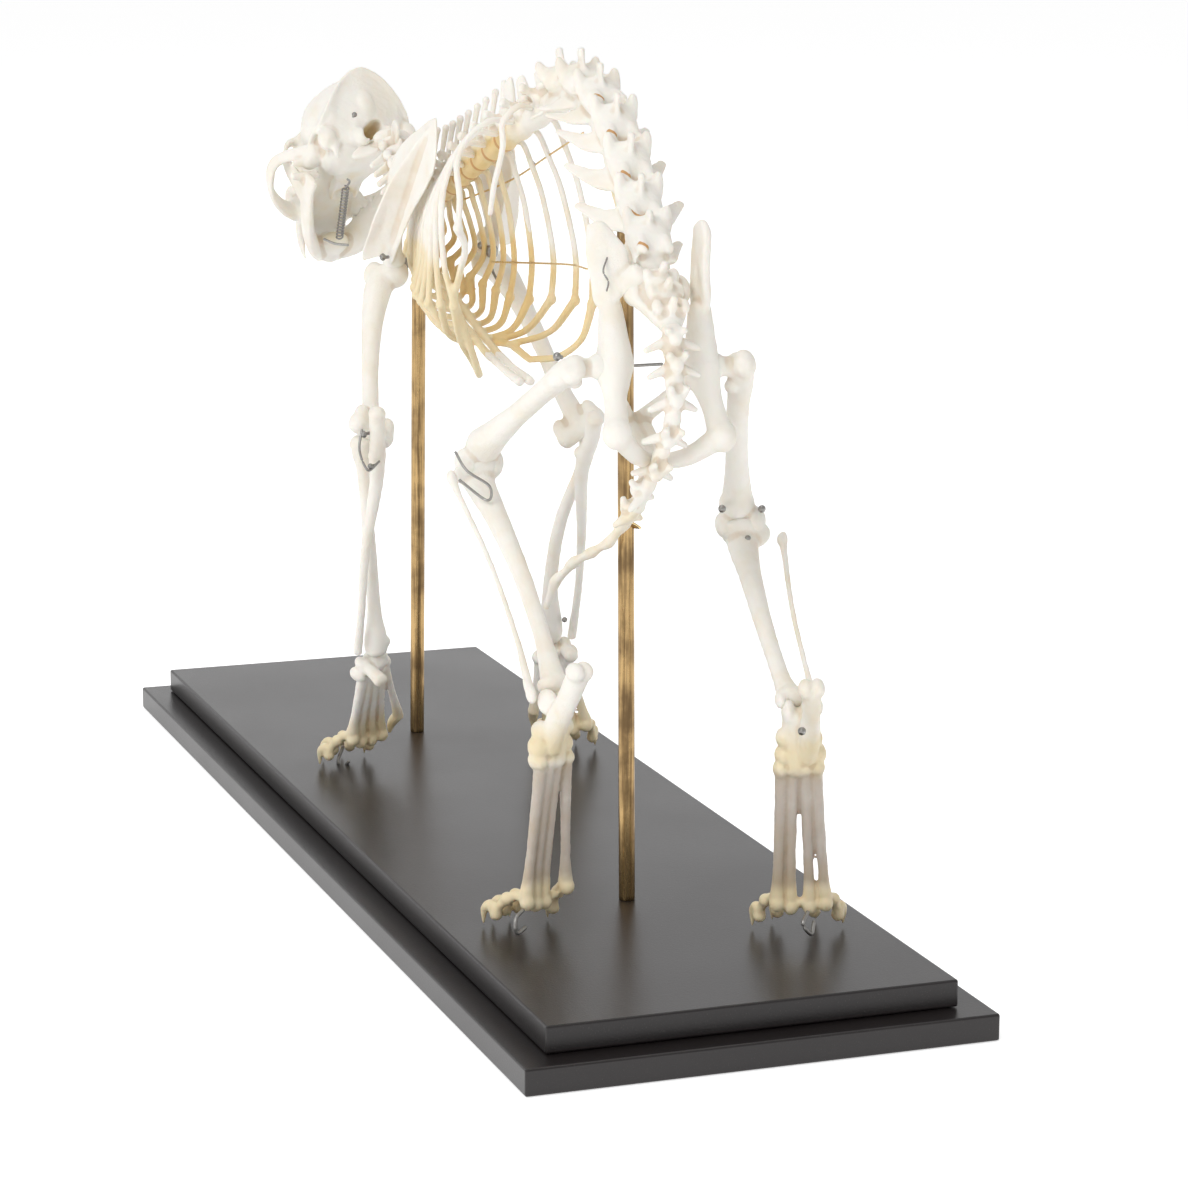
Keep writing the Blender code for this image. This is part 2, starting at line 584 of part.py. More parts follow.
def rib_path(number, side):
    """The bony part of one rib, from its joint with the spine to the start of its cartilage."""
    frame = spine_frame(CHEST_X[number])
    top = frame.start
    wide = (RIB_WIDTH_LEFT if side > 0 else RIB_WIDTH_RIGHT)[number]
    hung = RIB_SHARES_LEFT if side > 0 or number == 12 else RIB_SHARES_RIGHT
    low = Vector((RIB_END_X[number], top.y + RIB_END_WIDTH[number] * side, RIB_END_Z[number]))
    if number == 12 and side < 0:
        low = Vector(LAST_RIB_RIGHT)
    if number == 11 and side > 0:
        low = Vector(SHORT_RIB_LEFT)
    across = Vector((0.0, side, 0.0))
    fall = low.z - top.z
    drift = low.x - top.x
    bulge = hung[2:] if number < 12 else (0.85, 1.0)
    clear = CHEST_RADII[number] + 3.4
    return [
        frame.at(-2.5, 0.0, 0.8) + across * (CHEST_RADII[number] + 0.7),
        top + across * max(hung[0] * wide + 3.0, clear) + Vector((-3.0, 0.0, 1.0)),
        top + across * max(hung[1] * wide + 1.0, clear) + Vector((-4.5 + 0.10 * drift, 0.0, 0.12 * fall)),
        top + across * wide * bulge[0] + Vector((-4.0 + 0.32 * drift, 0.0, 0.36 * fall)),
        top + across * wide * bulge[1] + Vector((-2.5 + 0.68 * drift, 0.0, 0.72 * fall)),
        low,
    ]


def cartilage_path(number, side):
    """The cartilage of one rib, from the end of its bone to the breastbone or to the one before."""
    start = rib_path(number, side)[-1]
    across = Vector((0.0, side, 0.0))
    if number < 9:
        goal = sternum_point(STERNUM_SHARES[number]) + across * 3.0
        return [start, start.lerp(goal, 0.5) + across * 2.0 + Vector((0.0, 0.0, -2.0 - 0.3 * number)), goal]
    if number == 9:
        goal = sternum_point(0.60) + across * 5.5 + Vector((0.0, 0.0, -2.0))
        return [start, start.lerp(goal, 0.5) + across * 2.5 + Vector((0.0, 0.0, -4.0)), goal]
    if side > 0 and number == 11:
        bend = [Vector((-46.0, 32.0, 268.7)), Vector((-38.0, 31.2, 259.6))]
        return [start, *bend, rib_path(10, side)[-1] + Vector((0.0, 0.0, 3.0))]
    if side < 0 and number == 10:
        goal = Vector((2.0, 7.0 + 10.0 * side, 221.0))
        return [start, start.lerp(goal, 0.5) + across * 3.5 + Vector((0.0, 0.0, -4.0)), goal]
    goal = Vector((-16.0, 6.5 + 12.5 * side, 217.0))
    if side > 0:
        return [start, Vector((-36.0, 29.5, 231.0)), Vector((-30.0, 24.5, 220.5)), goal]
    return [start, Vector((-43.0, -19.5, 229.0)), Vector((-34.0, -12.5, 220.5)), goal]


def rib_cage(side, grow=0.0):
    """One side of the rib cage: twelve ribs, their cartilages and half of the breastbone."""
    across = Vector((0.0, side, 0.0))
    halves = [sternum_point(i / 14) + across * 2.3 for i in range(15)]
    pieces = [tube(halves, (2.1, 1.7) * 5 + (1.8, 1.7, 1.6, 1.9, 2.1), grow, 6)]
    for number in range(12):
        thick = 1.9 if number < 2 else 1.6
        pieces.append(tube(rib_path(number, side), (1.4, thick, thick, thick, thick, 1.8), grow))
        path = cartilage_path(number, side)
        pieces.append(tube(path, (1.8,) + (1.5,) * (len(path) - 1), grow))
    margin = [cartilage_path(n, side)[-1] for n in (11, 10, 9)]
    pieces.append(tube([*margin, sternum_point(0.56) + across * 3.0], (1.6, 1.6, 1.6, 1.6), grow))
    return pieces


def floating_rib(side, grow=0.0):
    """The thirteenth rib, which ends free in the flank."""
    path = rib_path(12, side)
    return [tube(path, (1.5, 1.6, 1.5, 1.4, 1.3, 0.9), grow)]


# Shoulder blade, as shares along it from the shoulder and offsets to the front, and its raised ridge
# as places along it, heights and offsets to the front
SCAPULA_OUTLINE = ((9, 4.5), (19, 12), (28, 22), (38, 26), (54, 21.5), (74, 8), (91, -5), (94, -11))
SCAPULA_OUTLINE += ((81, -22), (66, -20), (50, -14), (34, -9.6), (15, -6.5), (9, -4.5))
SCAPULA_RIDGE = ((13, 0, -1), (5, 6, 3), (4, 10.5, 4), (19, 12.0, 1), (38, 11.5, -1), (60, 8.5, -3), (86, 0, -7))


def scapula(top, shoulder, side, grow=0.0):
    """A shoulder blade: the flat blade, its spine and the neck with the joint cup."""
    frame = Frame(shoulder, top, (1.0, 0.0, 0.0))
    away = 1.0 if frame.side.y * side > 0 else -1.0
    blade = [frame.at(along, 0, front) for along, front in SCAPULA_OUTLINE]
    ridge = [frame.at(along, high * away, front) for along, high, front in SCAPULA_RIDGE]
    shift = frame.side * (2.5 * away)
    return [
        plate([p + shift for p in blade], 2.0, grow),
        plate([p + shift for p in ridge], 1.8, grow),
        tube([frame.at(7.6), frame.at(12, 1.2 * away), frame.at(22, 2.2 * away)], (5.2, 4.2, 3.0), grow, 8),
        knob(frame.at(10.5, 0, 5.5), (4.0, 2.8, 3.2), frame.axes(), grow, 6, 6),
    ]


def humerus(shoulder, elbow, side, grow=0.0):
    """An upper arm bone, with its round head to the rear of the top end."""
    frame = Frame(shoulder, elbow, (1.0, 0.0, 0.6))
    length = frame.length
    out = side if frame.side.y > 0 else -side
    lower = length - 5.0
    shaft = [frame.at(3, 2 * out, 2), frame.at(12, 3 * out, 3.5), frame.at(28, 3 * out, 4)]
    shaft += [frame.at(50, 2 * out, 3), frame.at(74, 0.5 * out, 0.5), frame.at(lower, 0, 0)]
    return [
        tube(shaft, (6.4, 6.0, 4.7, 3.8, 3.9, 5.0), grow, 8),
        knob(frame.at(1.5, 0, -2.5), (6.6, 6.6, 6.6), frame.axes(), grow, 10, 8),
        knob(frame.at(1.5, 4.5 * out, 5.5), (6.2, 4.2, 4.8), frame.axes(), grow),
        tube([frame.at(lower, -9.0 * out, 0), frame.at(lower, 8.5 * out, 0)], (4.4, 4.6), grow, 8),
        knob(frame.at(lower - 3.5, -8.0 * out, -1), (6.0, 3.6, 3.8), frame.axes(), grow),
        knob(frame.at(lower - 3.5, 7.5 * out, -1), (5.4, 3.2, 3.6), frame.axes(), grow),
    ]


def forearm_frame(elbow, wrist):
    """The frame that radius and ulna share: along to the wrist, front forward."""
    return Frame(elbow, wrist, (1.0, 0.0, 0.0))


def radius_bone(elbow, wrist, side, bow, grow=0.0):
    """A radius: the front bone of the forearm, which carries the wrist."""
    frame = forearm_frame(elbow, wrist)
    out = side if frame.side.y > 0 else -side
    length = frame.length
    shaft = [frame.at(1.5, 3 * out, 3.5), frame.at(7, 3 * out, 3.5), frame.at(18, 2 * out, 3.5)]
    shaft += [frame.at(50, (-0.5 - bow) * out, 5.0), frame.at(80, (-1.5 - bow) * out, 3.0)]
    shaft += [frame.at(length - 9, -1.5 * out, 1.5), frame.at(length - 3.2, -1.5 * out, 1.2)]
    return [
        tube(shaft, (4.6, 3.9, 2.7, 2.9, 3.2, 5.0, 5.2), grow, 8),
        knob(frame.at(length - 6, -3.0 * out, 1.5), (3.4, 5.2, 4.2), frame.axes(), grow),
    ]


def ulna(elbow, wrist, side, grow=0.0):
    """An ulna: the rear bone of the forearm, with the point of the elbow."""
    frame = forearm_frame(elbow, wrist)
    out = side if frame.side.y > 0 else -side
    length = frame.length
    shaft = [frame.at(-14, -1.0 * out, -8.5), frame.at(-4, -1.0 * out, -8.5), frame.at(6, -1.5 * out, -6.0)]
    shaft += [frame.at(20, -1.0 * out, -4.6), frame.at(50, 3.8 * out, -3.2), frame.at(80, 6.4 * out, -3.4)]
    shaft.append(frame.at(length - 4.0, 7.8 * out, -2.0))
    return [
        tube(shaft, (3.6, 3.4, 3.6, 3.0, 2.2, 1.8, 2.1), grow, 8),
        knob(frame.at(-15, -1.0 * out, -8.5), (3.4, 3.8, 4.4), frame.axes(), grow),
        knob(frame.at(5.5, -2.0 * out, -4.2), (3.4, 4.2, 3.0), frame.axes(), grow),
    ]


# Digits of a paw: side offset at the wrist, side offset at the knuckle, how far the knuckle is
# dropped back, and how far the toe reaches forward
FORE_DIGITS = (
    (-7.0, -15.0, 14.0, 0.0),
    (-4.4, -8.5, 0.0, 23.0),
    (-1.4, -3.0, -3.0, 27.0),
    (1.8, 3.2, -3.0, 27.0),
    (5.0, 9.0, 1.5, 22.0),
)
HIND_DIGITS = (
    (-6.6, -9.0, 1.0, 23.0),
    (-2.2, -3.2, -2.0, 27.0),
    (2.2, 3.2, -2.0, 27.0),
    (6.2, 9.0, 1.0, 23.0),
)
TOE_FLOOR = BASE_TOP + GAP
TOE_RADIUS = 1.5


def toe(knuckle, forward, outward, reach, grow):
    """Three toe bones: down from the knuckle, forward along the base, and the hooked claw."""
    floor = Vector((0.0, 0.0, 1.0))
    heading = (forward + outward).normalized()
    low = Vector((knuckle.x, knuckle.y, TOE_FLOOR))
    first = low + heading * 0.42 * reach + floor * 12.0
    second = low + heading * 0.72 * reach + floor * 4.6
    hook = low + heading * 0.88 * reach + floor * 8.0
    tip = low + heading * 1.04 * reach + floor * 2.6
    pieces = [tube([knuckle, knuckle.lerp(first, 0.5), first], (2.9, 1.9, 2.4), grow)]
    pieces.append(tube([first, first.lerp(second, 0.5), second], (2.3, 1.7, 2.6), grow))
    pieces.append(tube([second, hook, tip], (2.6, 2.4, 0.8), grow))
    return pieces


def paw(top, knuckle, forward, digits, side, grow):
    """The long bones and toes of a paw, from the lower end of the wrist or hock."""
    heading = Vector(forward).normalized()
    across = heading.cross(Vector((0.0, 0.0, -1.0))) * -1.0
    if across.y * side < 0:
        across = -across
    pieces = []
    for at_top, at_knuckle, back, reach in digits:
        root = Vector(top) + across * at_top
        end = Vector(knuckle) + across * at_knuckle - heading * back * 0.35 + Vector((0.0, 0.0, 0.5 * back))
        pieces.append(tube([root, root.lerp(end, 0.25), root.lerp(end, 0.75), end], (2.7, 1.9, 1.8, 2.9), grow))
        if reach:
            pieces += toe(end, heading, across * (0.035 * at_knuckle), reach, grow)
        else:
            claw = end + heading * 6 + Vector((0.0, 0.0, -9.0))
            pieces.append(tube([end, end.lerp(claw, 0.5) + heading * 1.5, claw], (2.6, 2.1, 0.9), grow))
    pieces.append(knob(Vector(knuckle) + Vector((0, 0, -8.0)) + heading * 3, (5.5, 8.0, 4.6), None, grow))
    return pieces


def forepaw(wrist, knuckle, forward, side, grow=0.0):
    """A forepaw: the wrist bones, five metacarpals and their toes."""
    down = (Vector(knuckle) - Vector(wrist)).normalized()
    frame = Frame(Vector(wrist), Vector(wrist) + down, forward)
    middle = frame.at(4.6)
    out = side if frame.side.y > 0 else -side
    pieces = [knob(middle, (4.8, 9.2, 5.4), frame.axes(), grow, 10, 8)]
    pieces.append(tube([frame.at(3, 5 * out, -3), frame.at(1.5, 7 * out, -12)], (2.6, 3.0), grow))
    pieces += paw(frame.at(7.5), knuckle, forward, FORE_DIGITS, side, grow)
    return pieces


def pelvis(grow=0.0):
    """The hip bone: both halves joined below at the symphysis."""
    pieces = []
    for side in (-1, 1):
        hip = Vector(HIP_L if side > 0 else HIP_R)
        crest = Vector((-187.0, 24.0, 293.0)) if side > 0 else Vector((-197.0, -11.5, 291.0))
        seat = Vector((-212.0, 27.0, 219.0)) if side > 0 else Vector((-213.0, -14.0, 216.0))
        socket = hip + Vector((0.0, -6.2 * side, 0.0))
        out = Vector((0.0, side, 0.0))
        neck = socket.lerp(crest, 0.42) + out * -0.5
        blade = [crest + Vector((9, 1.5 * side, 1)), crest + Vector((-1, 0, 4))]
        blade += [crest + Vector((-9, -1.0 * side, 0)), crest.lerp(neck, 0.5) + Vector((-9.5, -1.5 * side, 0))]
        blade += [neck + Vector((-5, -1, 0)), neck + Vector((5, 0.5, 0))]
        blade += [crest.lerp(neck, 0.5) + Vector((9.5, 1.0 * side, 0))]
        pieces.append(plate(blade, 4.0, grow))
        column = [neck, socket + Vector((0, 0, 7)), socket, socket.lerp(seat, 0.5), seat]
        pieces.append(tube(column, (4.4, 6.2, 7.6, 4.4, 5.0), grow, 8))
        pieces.append(knob(seat, (6.0, 5.6, 6.4), None, grow))
        front = Vector((-176.0, 7.0 + 2.6 * side, 217.5))
        rear = Vector((-202.0, 7.0 + 2.4 * side, 205.5))
        pieces.append(tube([socket, socket.lerp(front, 0.5) + out * 1.5, front], (5.0, 3.0, 3.2), grow))
        pieces.append(tube([seat, seat.lerp(rear, 0.55) + Vector((0, 0, -2.0)), rear], (4.6, 3.6, 3.0), grow))
        pieces.append(tube([front, front.lerp(rear, 0.5) + Vector((1.0, 0, 0)), rear], (3.2, 3.0, 3.0), grow))
    return pieces


def femur(hip, knee, side, grow=0.0):
    """A thigh bone: ball, neck, trochanter, shaft and the two knuckles of the knee."""
    frame = Frame(hip, knee, (0.6, 0.0, 1.0))
    out = side if frame.side.y > 0 else -side
    length = frame.length
    far = length - 6.0
    shaft = [frame.at(1, 8.5 * out, 0), frame.at(12, 8.5 * out, 0.5), frame.at(30, 6 * out, 1.5)]
    shaft += [frame.at(60, 3 * out, 2.0), frame.at(84, 1.0 * out, 2.0), frame.at(far - 6, 0, 1.5)]
    return [
        tube(shaft, (4.8, 5.0, 4.4, 4.4, 5.6, 7.2), grow, 8),
        knob(frame.at(0, -1.0 * out, 0), (5.2, 5.2, 5.2), frame.axes(), grow, 10, 8),
        tube([frame.at(0.5, 0, 0), frame.at(3.5, 9 * out, 0)], (3.4, 4.4), grow),
        knob(frame.at(0.5, 10.5 * out, -1.5), (6.2, 4.4, 5.4), frame.axes(), grow),
        knob(frame.at(11, 4.5 * out, -2.5), (3.4, 2.8, 2.6), frame.axes(), grow, 6, 4),
        knob(frame.at(far + 0.2, -5.8 * out, -3.6), (5.6, 4.4, 5.8), frame.axes(), grow),
        knob(frame.at(far + 0.2, 5.8 * out, -3.6), (5.6, 4.4, 5.8), frame.axes(), grow),
        knob(frame.at(far - 2.0, 0, 3.6), (6.6, 5.2, 4.0), frame.axes(), grow),
    ]


def tibia(knee, hock, side, grow=0.0):
    """A shin bone with its flat top, front crest and inner ankle."""
    frame = Frame(knee, hock, (1.0, 0.0, 0.0))
    out = side if frame.side.y > 0 else -side
    length = frame.length
    shaft = [frame.at(7.5, 0, 1), frame.at(14, -0.5 * out, 2), frame.at(30, -2 * out, 1)]
    shaft += [frame.at(60, -3.5 * out, 0), frame.at(90, -3 * out, 0), frame.at(length - 8, -1.5 * out, 0.5)]
    return [
        tube(shaft, (7.2, 6.0, 4.6, 3.6, 3.4, 5.0), grow, 8),
        knob(frame.at(8.0, 0, -1.5), (3.6, 10.6, 7.6), frame.axes(), grow, 10, 6),
        knob(frame.at(12, 0, 6.5), (7.0, 3.0, 3.6), frame.axes(), grow, 6, 6),
        knob(frame.at(length - 7, -1.0 * out, 0), (4.0, 6.6, 5.2), frame.axes(), grow),
        knob(frame.at(length - 4.5, -6.5 * out, 0), (4.0, 2.0, 2.8), frame.axes(), grow, 6, 6),
    ]


def fibula(knee, hock, side, grow=0.0):
    """The thin outer bone of the shank."""
    frame = Frame(knee, hock, (1.0, 0.0, 0.0))
    out = side if frame.side.y > 0 else -side
    length = frame.length
    path = [frame.at(13, 13.0 * out, -6.0), frame.at(22, 12.2 * out, -5.4), frame.at(55, 8.6 * out, -4.0)]
    path += [frame.at(90, 7.8 * out, -2.0), frame.at(length - 5, 9.0 * out, 0)]
    return [
        tube(path, (2.3, 1.3, 1.1, 1.2, 2.0), grow),
        knob(frame.at(12.5, 13.0 * out, -6.0), (2.6, 1.8, 3.0), frame.axes(), grow, 6, 6),
        knob(frame.at(length - 4, 9.0 * out, 0), (4.0, 1.9, 3.2), frame.axes(), grow, 6, 6),
    ]


def hindpaw(hock, heads, forward, side, grow=0.0):
    """A hind foot: the heel bone, the hock bones, four metatarsals and their toes."""
    frame = Frame(hock, heads, forward)
    out = side if frame.side.y > 0 else -side
    pieces = [knob(frame.at(0.5, 0, 0), (5.0, 6.2, 5.4), frame.axes(), grow, 10, 8)]
    heel = [frame.at(-14, 3.5 * out, -15), frame.at(-3, 3.8 * out, -10.5), frame.at(8, 3.6 * out, -5)]
    heel.append(frame.at(18, 2.5 * out, -1))
    pieces.append(tube(heel, (4.2, 3.6, 4.6, 4.6), grow, 8))
    pieces.append(knob(frame.at(-15, 3.5 * out, -15.5), (4.6, 4.2, 4.8), frame.axes(), grow))
    inner = [frame.at(2, -1.5 * out, 0), frame.at(12, -2.0 * out, 0.5), frame.at(24, -1.0 * out, 0.5)]
    pieces.append(tube(inner, (5.0, 5.0, 5.2), grow, 8))
    pieces.append(knob(frame.at(23, 0, 0), (4.4, 8.2, 5.4), frame.axes(), grow, 10, 6))
    pieces += paw(frame.at(25), heads, forward, HIND_DIGITS, side, grow)
    return pieces


def stand_lower(grow=0.0):
    """The wide lower tier of the base."""
    half_length, half_width = 0.5 * LOWER_LENGTH, 0.5 * LOWER_WIDTH
    top = LOWER_HEIGHT - GAP
    return [block((-half_length, -half_width, 0.0), (half_length, half_width, top), EDGE_BEVEL)]


def stand_upper(grow=0.0):
    """The narrower upper tier, whose top the feet stand on."""
    half_length, half_width = 0.5 * LOWER_LENGTH - TIER_STEP, 0.5 * LOWER_WIDTH - TIER_STEP
    return [block((-half_length, -half_width, LOWER_HEIGHT), (half_length, half_width, BASE_TOP), EDGE_BEVEL)]


def rod_front(grow=0.0):
    """The front rod with the thin steel pin that holds the neck."""
    bottom = (FRONT_ROD_X, 0.0, BASE_TOP + GAP)
    shoulder = (FRONT_ROD_X, -ROD_LEAN, FRONT_ROD_TOP)
    pin = [(FRONT_ROD_X, -ROD_LEAN, FRONT_ROD_TOP - 8.0), (FRONT_ROD_X, 1.0, FORK_TOP - 4.0)]
    pin.append((FRONT_ROD_X, 3.0, FORK_TOP))
    return [
        tube([bottom, shoulder], (ROD_RADIUS, ROD_RADIUS), grow, ROD_SIDES),
        tube(pin, (FORK_RADIUS, FORK_RADIUS, FORK_RADIUS), grow, 8),
    ]


def rod_rear(grow=0.0):
    """The rear rod, which ends under the loin."""
    bottom = (REAR_ROD_X, 0.0, BASE_TOP + GAP)
    return [tube([bottom, (REAR_ROD_X, ROD_LEAN, REAR_ROD_TOP)], (ROD_RADIUS, ROD_RADIUS), grow, ROD_SIDES)]


# Directions in which the toes point
TOES = {"fl": (20.0, 9.0, 0.0), "fr": (20.0, -6.0, 0.0), "hl": (30.0, 12.0, 0.0), "hr": (30.0, -9.0, 0.0)}

BONES = {
    "stand_base_lower": stand_lower,
    "stand_base_upper": stand_upper,
    "stand_rod_front": rod_front,
    "stand_rod_rear": rod_rear,
    "skull": skull,
    "mandible": mandible,
    "cervical_vertebrae": cervical,
    "thoracic_vertebrae": thoracic,
    "lumbar_vertebrae": lumbar,
    "sacrum": sacrum,
    "tail_upper": lambda grow=0.0: caudal(0, 6, grow),
    "tail_lower": lambda grow=0.0: caudal(6, 12, grow),
    "rib_cage_left": lambda grow=0.0: rib_cage(1, grow),
    "rib_cage_right": lambda grow=0.0: rib_cage(-1, grow),
    "floating_rib_left": lambda grow=0.0: floating_rib(1, grow),
    "floating_rib_right": lambda grow=0.0: floating_rib(-1, grow),
    "scapula_left": lambda grow=0.0: scapula(SCAPULA_TOP_L, SHOULDER_L, 1, grow),
    "scapula_right": lambda grow=0.0: scapula(SCAPULA_TOP_R, SHOULDER_R, -1, grow),
    "humerus_left": lambda grow=0.0: humerus(SHOULDER_L, ELBOW_L, 1, grow),
    "humerus_right": lambda grow=0.0: humerus(SHOULDER_R, ELBOW_R, -1, grow),
    "radius_left": lambda grow=0.0: radius_bone(ELBOW_L, WRIST_L, 1, 0.0, grow),
    "radius_right": lambda grow=0.0: radius_bone(ELBOW_R, WRIST_R, -1, 3.0, grow),
    "ulna_left": lambda grow=0.0: ulna(ELBOW_L, WRIST_L, 1, grow),
    "ulna_right": lambda grow=0.0: ulna(ELBOW_R, WRIST_R, -1, grow),
    "forepaw_left": lambda grow=0.0: forepaw(WRIST_L, KNUCKLE_L, TOES["fl"], 1, grow),
    "forepaw_right": lambda grow=0.0: forepaw(WRIST_R, KNUCKLE_R, TOES["fr"], -1, grow),
    "pelvis": pelvis,
    "femur_left": lambda grow=0.0: femur(HIP_L, KNEE_L, 1, grow),
    "femur_right": lambda grow=0.0: femur(HIP_R, KNEE_R, -1, grow),
    "tibia_left": lambda grow=0.0: tibia(KNEE_L, HOCK_L, 1, grow),
    "tibia_right": lambda grow=0.0: tibia(KNEE_R, HOCK_R, -1, grow),
    "fibula_left": lambda grow=0.0: fibula(KNEE_L, HOCK_L, 1, grow),
    "fibula_right": lambda grow=0.0: fibula(KNEE_R, HOCK_R, -1, grow),
    "hindpaw_left": lambda grow=0.0: hindpaw(HOCK_L, FOOT_L, TOES["hl"], 1, grow),
    "hindpaw_right": lambda grow=0.0: hindpaw(HOCK_R, FOOT_R, TOES["hr"], -1, grow),
}

# Bones that are hollowed where a neighbour sits in them, with that neighbour
HOLLOWED = (
    ("skull", ("mandible",)),
    ("cervical_vertebrae", ("skull",)),
    ("thoracic_vertebrae", ("cervical_vertebrae",)),
    ("lumbar_vertebrae", ("thoracic_vertebrae", "stand_rod_rear")),
    ("sacrum", ("lumbar_vertebrae",)),
    ("pelvis", ("sacrum", "femur_left", "femur_right", "tail_upper", "lumbar_vertebrae")),
    ("tail_upper", ("sacrum",)),
    ("tail_lower", ("tail_upper",)),
    ("scapula_left", ("humerus_left", "rib_cage_left")),
    ("scapula_right", ("humerus_right", "rib_cage_right")),
    ("ulna_left", ("humerus_left", "radius_left")),
    ("ulna_right", ("humerus_right", "radius_right")),
    ("radius_left", ("humerus_left",)),
    ("radius_right", ("humerus_right",)),
    ("forepaw_left", ("radius_left", "ulna_left")),
    ("forepaw_right", ("radius_right", "ulna_right")),
    ("tibia_left", ("femur_left", "fibula_left")),
    ("tibia_right", ("femur_right", "fibula_right")),
    ("hindpaw_left", ("tibia_left", "fibula_left")),
    ("hindpaw_right", ("tibia_right", "fibula_right")),
)


# Share of the triangles that each crowded node keeps
THINNED = {
    "skull": 0.30,
    "mandible": 0.55,
    "cervical_vertebrae": 0.34,
    "thoracic_vertebrae": 0.34,
    "lumbar_vertebrae": 0.36,
    "sacrum": 0.7,
    "tail_upper": 0.4,
    "tail_lower": 0.7,
    "pelvis": 0.42,
    "rib_cage_left": 0.5,
    "rib_cage_right": 0.5,
    "scapula_left": 0.5,
    "scapula_right": 0.5,
    "humerus_left": 0.5,
    "humerus_right": 0.5,
    "femur_left": 0.5,
    "femur_right": 0.5,
    "tibia_left": 0.5,
    "tibia_right": 0.5,
    "forepaw_left": 0.42,
    "forepaw_right": 0.42,
    "hindpaw_left": 0.42,
    "hindpaw_right": 0.42,
}


def evaluated_mesh(item):
    """The object's mesh with its modifiers applied."""
    graph = bpy.context.evaluated_depsgraph_get()
    return bpy.data.meshes.new_from_object(item.evaluated_get(graph))


def combine(first, others, operation, solver):
    """Applies one Boolean of a whole collection to the first piece, then removes the collection."""
    if not others:
        return first
    group = new_collection("pieces", hidden=True)
    for other in others:
        SCRATCH.objects.unlink(other)
        group.objects.link(other)
    step = first.modifiers.new("combine", "BOOLEAN")
    step.operation = operation
    step.operand_type = "COLLECTION"
    step.collection = group
    step.solver = solver
    mesh = evaluated_mesh(first)
    first.modifiers.clear()
    first.data = mesh
    for other in others:
        bpy.data.objects.remove(other, do_unlink=True)
    bpy.data.collections.remove(group)
    return first


def thin_out(item, share):
    """Drops this share of the triangles where the surface changes least."""
    step = item.modifiers.new("thin out", "DECIMATE")
    step.decimate_type = "COLLAPSE"
    step.ratio = share
    step.use_collapse_triangulate = True
    mesh = evaluated_mesh(item)
    item.modifiers.clear()
    item.data = mesh


def keep_largest(item):
    """Leaves only the largest closed surface of the mesh, without slivers."""
    bm = bmesh.new()
    bm.from_mesh(item.data)
    bmesh.ops.remove_doubles(bm, verts=bm.verts, dist=SLIVER)
    bmesh.ops.dissolve_degenerate(bm, edges=bm.edges, dist=SLIVER)
    unseen = set(bm.faces)
    shells = []
    while unseen:
        stack = [unseen.pop()]
        shell = list(stack)
        while stack:
            for edge in stack.pop().edges:
                for face in edge.link_faces:
                    if face in unseen:
                        unseen.discard(face)
                        shell.append(face)
                        stack.append(face)
        shells.append(shell)
    best = set(max(shells, key=lambda shell: sum(face.calc_area() for face in shell)))
    bmesh.ops.delete(bm, geom=[f for f in bm.faces if f not in best], context="FACES")
    loose = [v for v in bm.verts if not v.link_faces]
    bmesh.ops.delete(bm, geom=loose, context="VERTS")
    bmesh.ops.triangulate(bm, faces=bm.faces)
    bm.to_mesh(item.data)
    bm.free()


def build():
    """Makes every node of the object, named as in the record."""
    paints = {
        "bone": material("bone", IVORY, 0.5),
        "rib": material("rib bone", CARTILAGE, 0.45),
        "brass": material("aged brass", BRASS, 0.35, 1.0),
        "base": material("dark base", DARK, 0.4),
    }
    hollows = dict(HOLLOWED)
    for name, maker in BONES.items():
        pieces = maker()
        whole = combine(pieces[0], pieces[1:], "UNION", "MANIFOLD")
        keep_largest(whole)
        if name in THINNED:
            thin_out(whole, THINNED[name])
        cutters = []
        for neighbour in hollows.get(name, ()):
            cutters += BONES[neighbour](CLEARANCE)
        whole = combine(whole, cutters, "DIFFERENCE", "MANIFOLD")
        keep_largest(whole)
        whole.name = name
        whole.data.name = name
        kind = "base" if "base" in name else "brass" if "rod" in name else "rib" if "rib" in name else "bone"
        whole.data.materials.clear()
        whole.data.materials.append(paints[kind])
        SCRATCH.objects.unlink(whole)
        SKELETON.objects.link(whole)


clear_scene()
SKELETON = new_collection("cat skeleton")
SCRATCH = new_collection("scratch", hidden=True)
build()
bpy.data.collections.remove(SCRATCH)
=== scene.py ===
# %% [markdown]
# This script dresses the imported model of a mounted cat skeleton. The real object is a museum piece:
# bleached bones wired together in a walking stance, two brass rods and a dark base in two tiers. The
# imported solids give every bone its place. Here each bone gets its own smooth surface, its pores and
# stains, and the small wires and screws that hold the joints.

import math

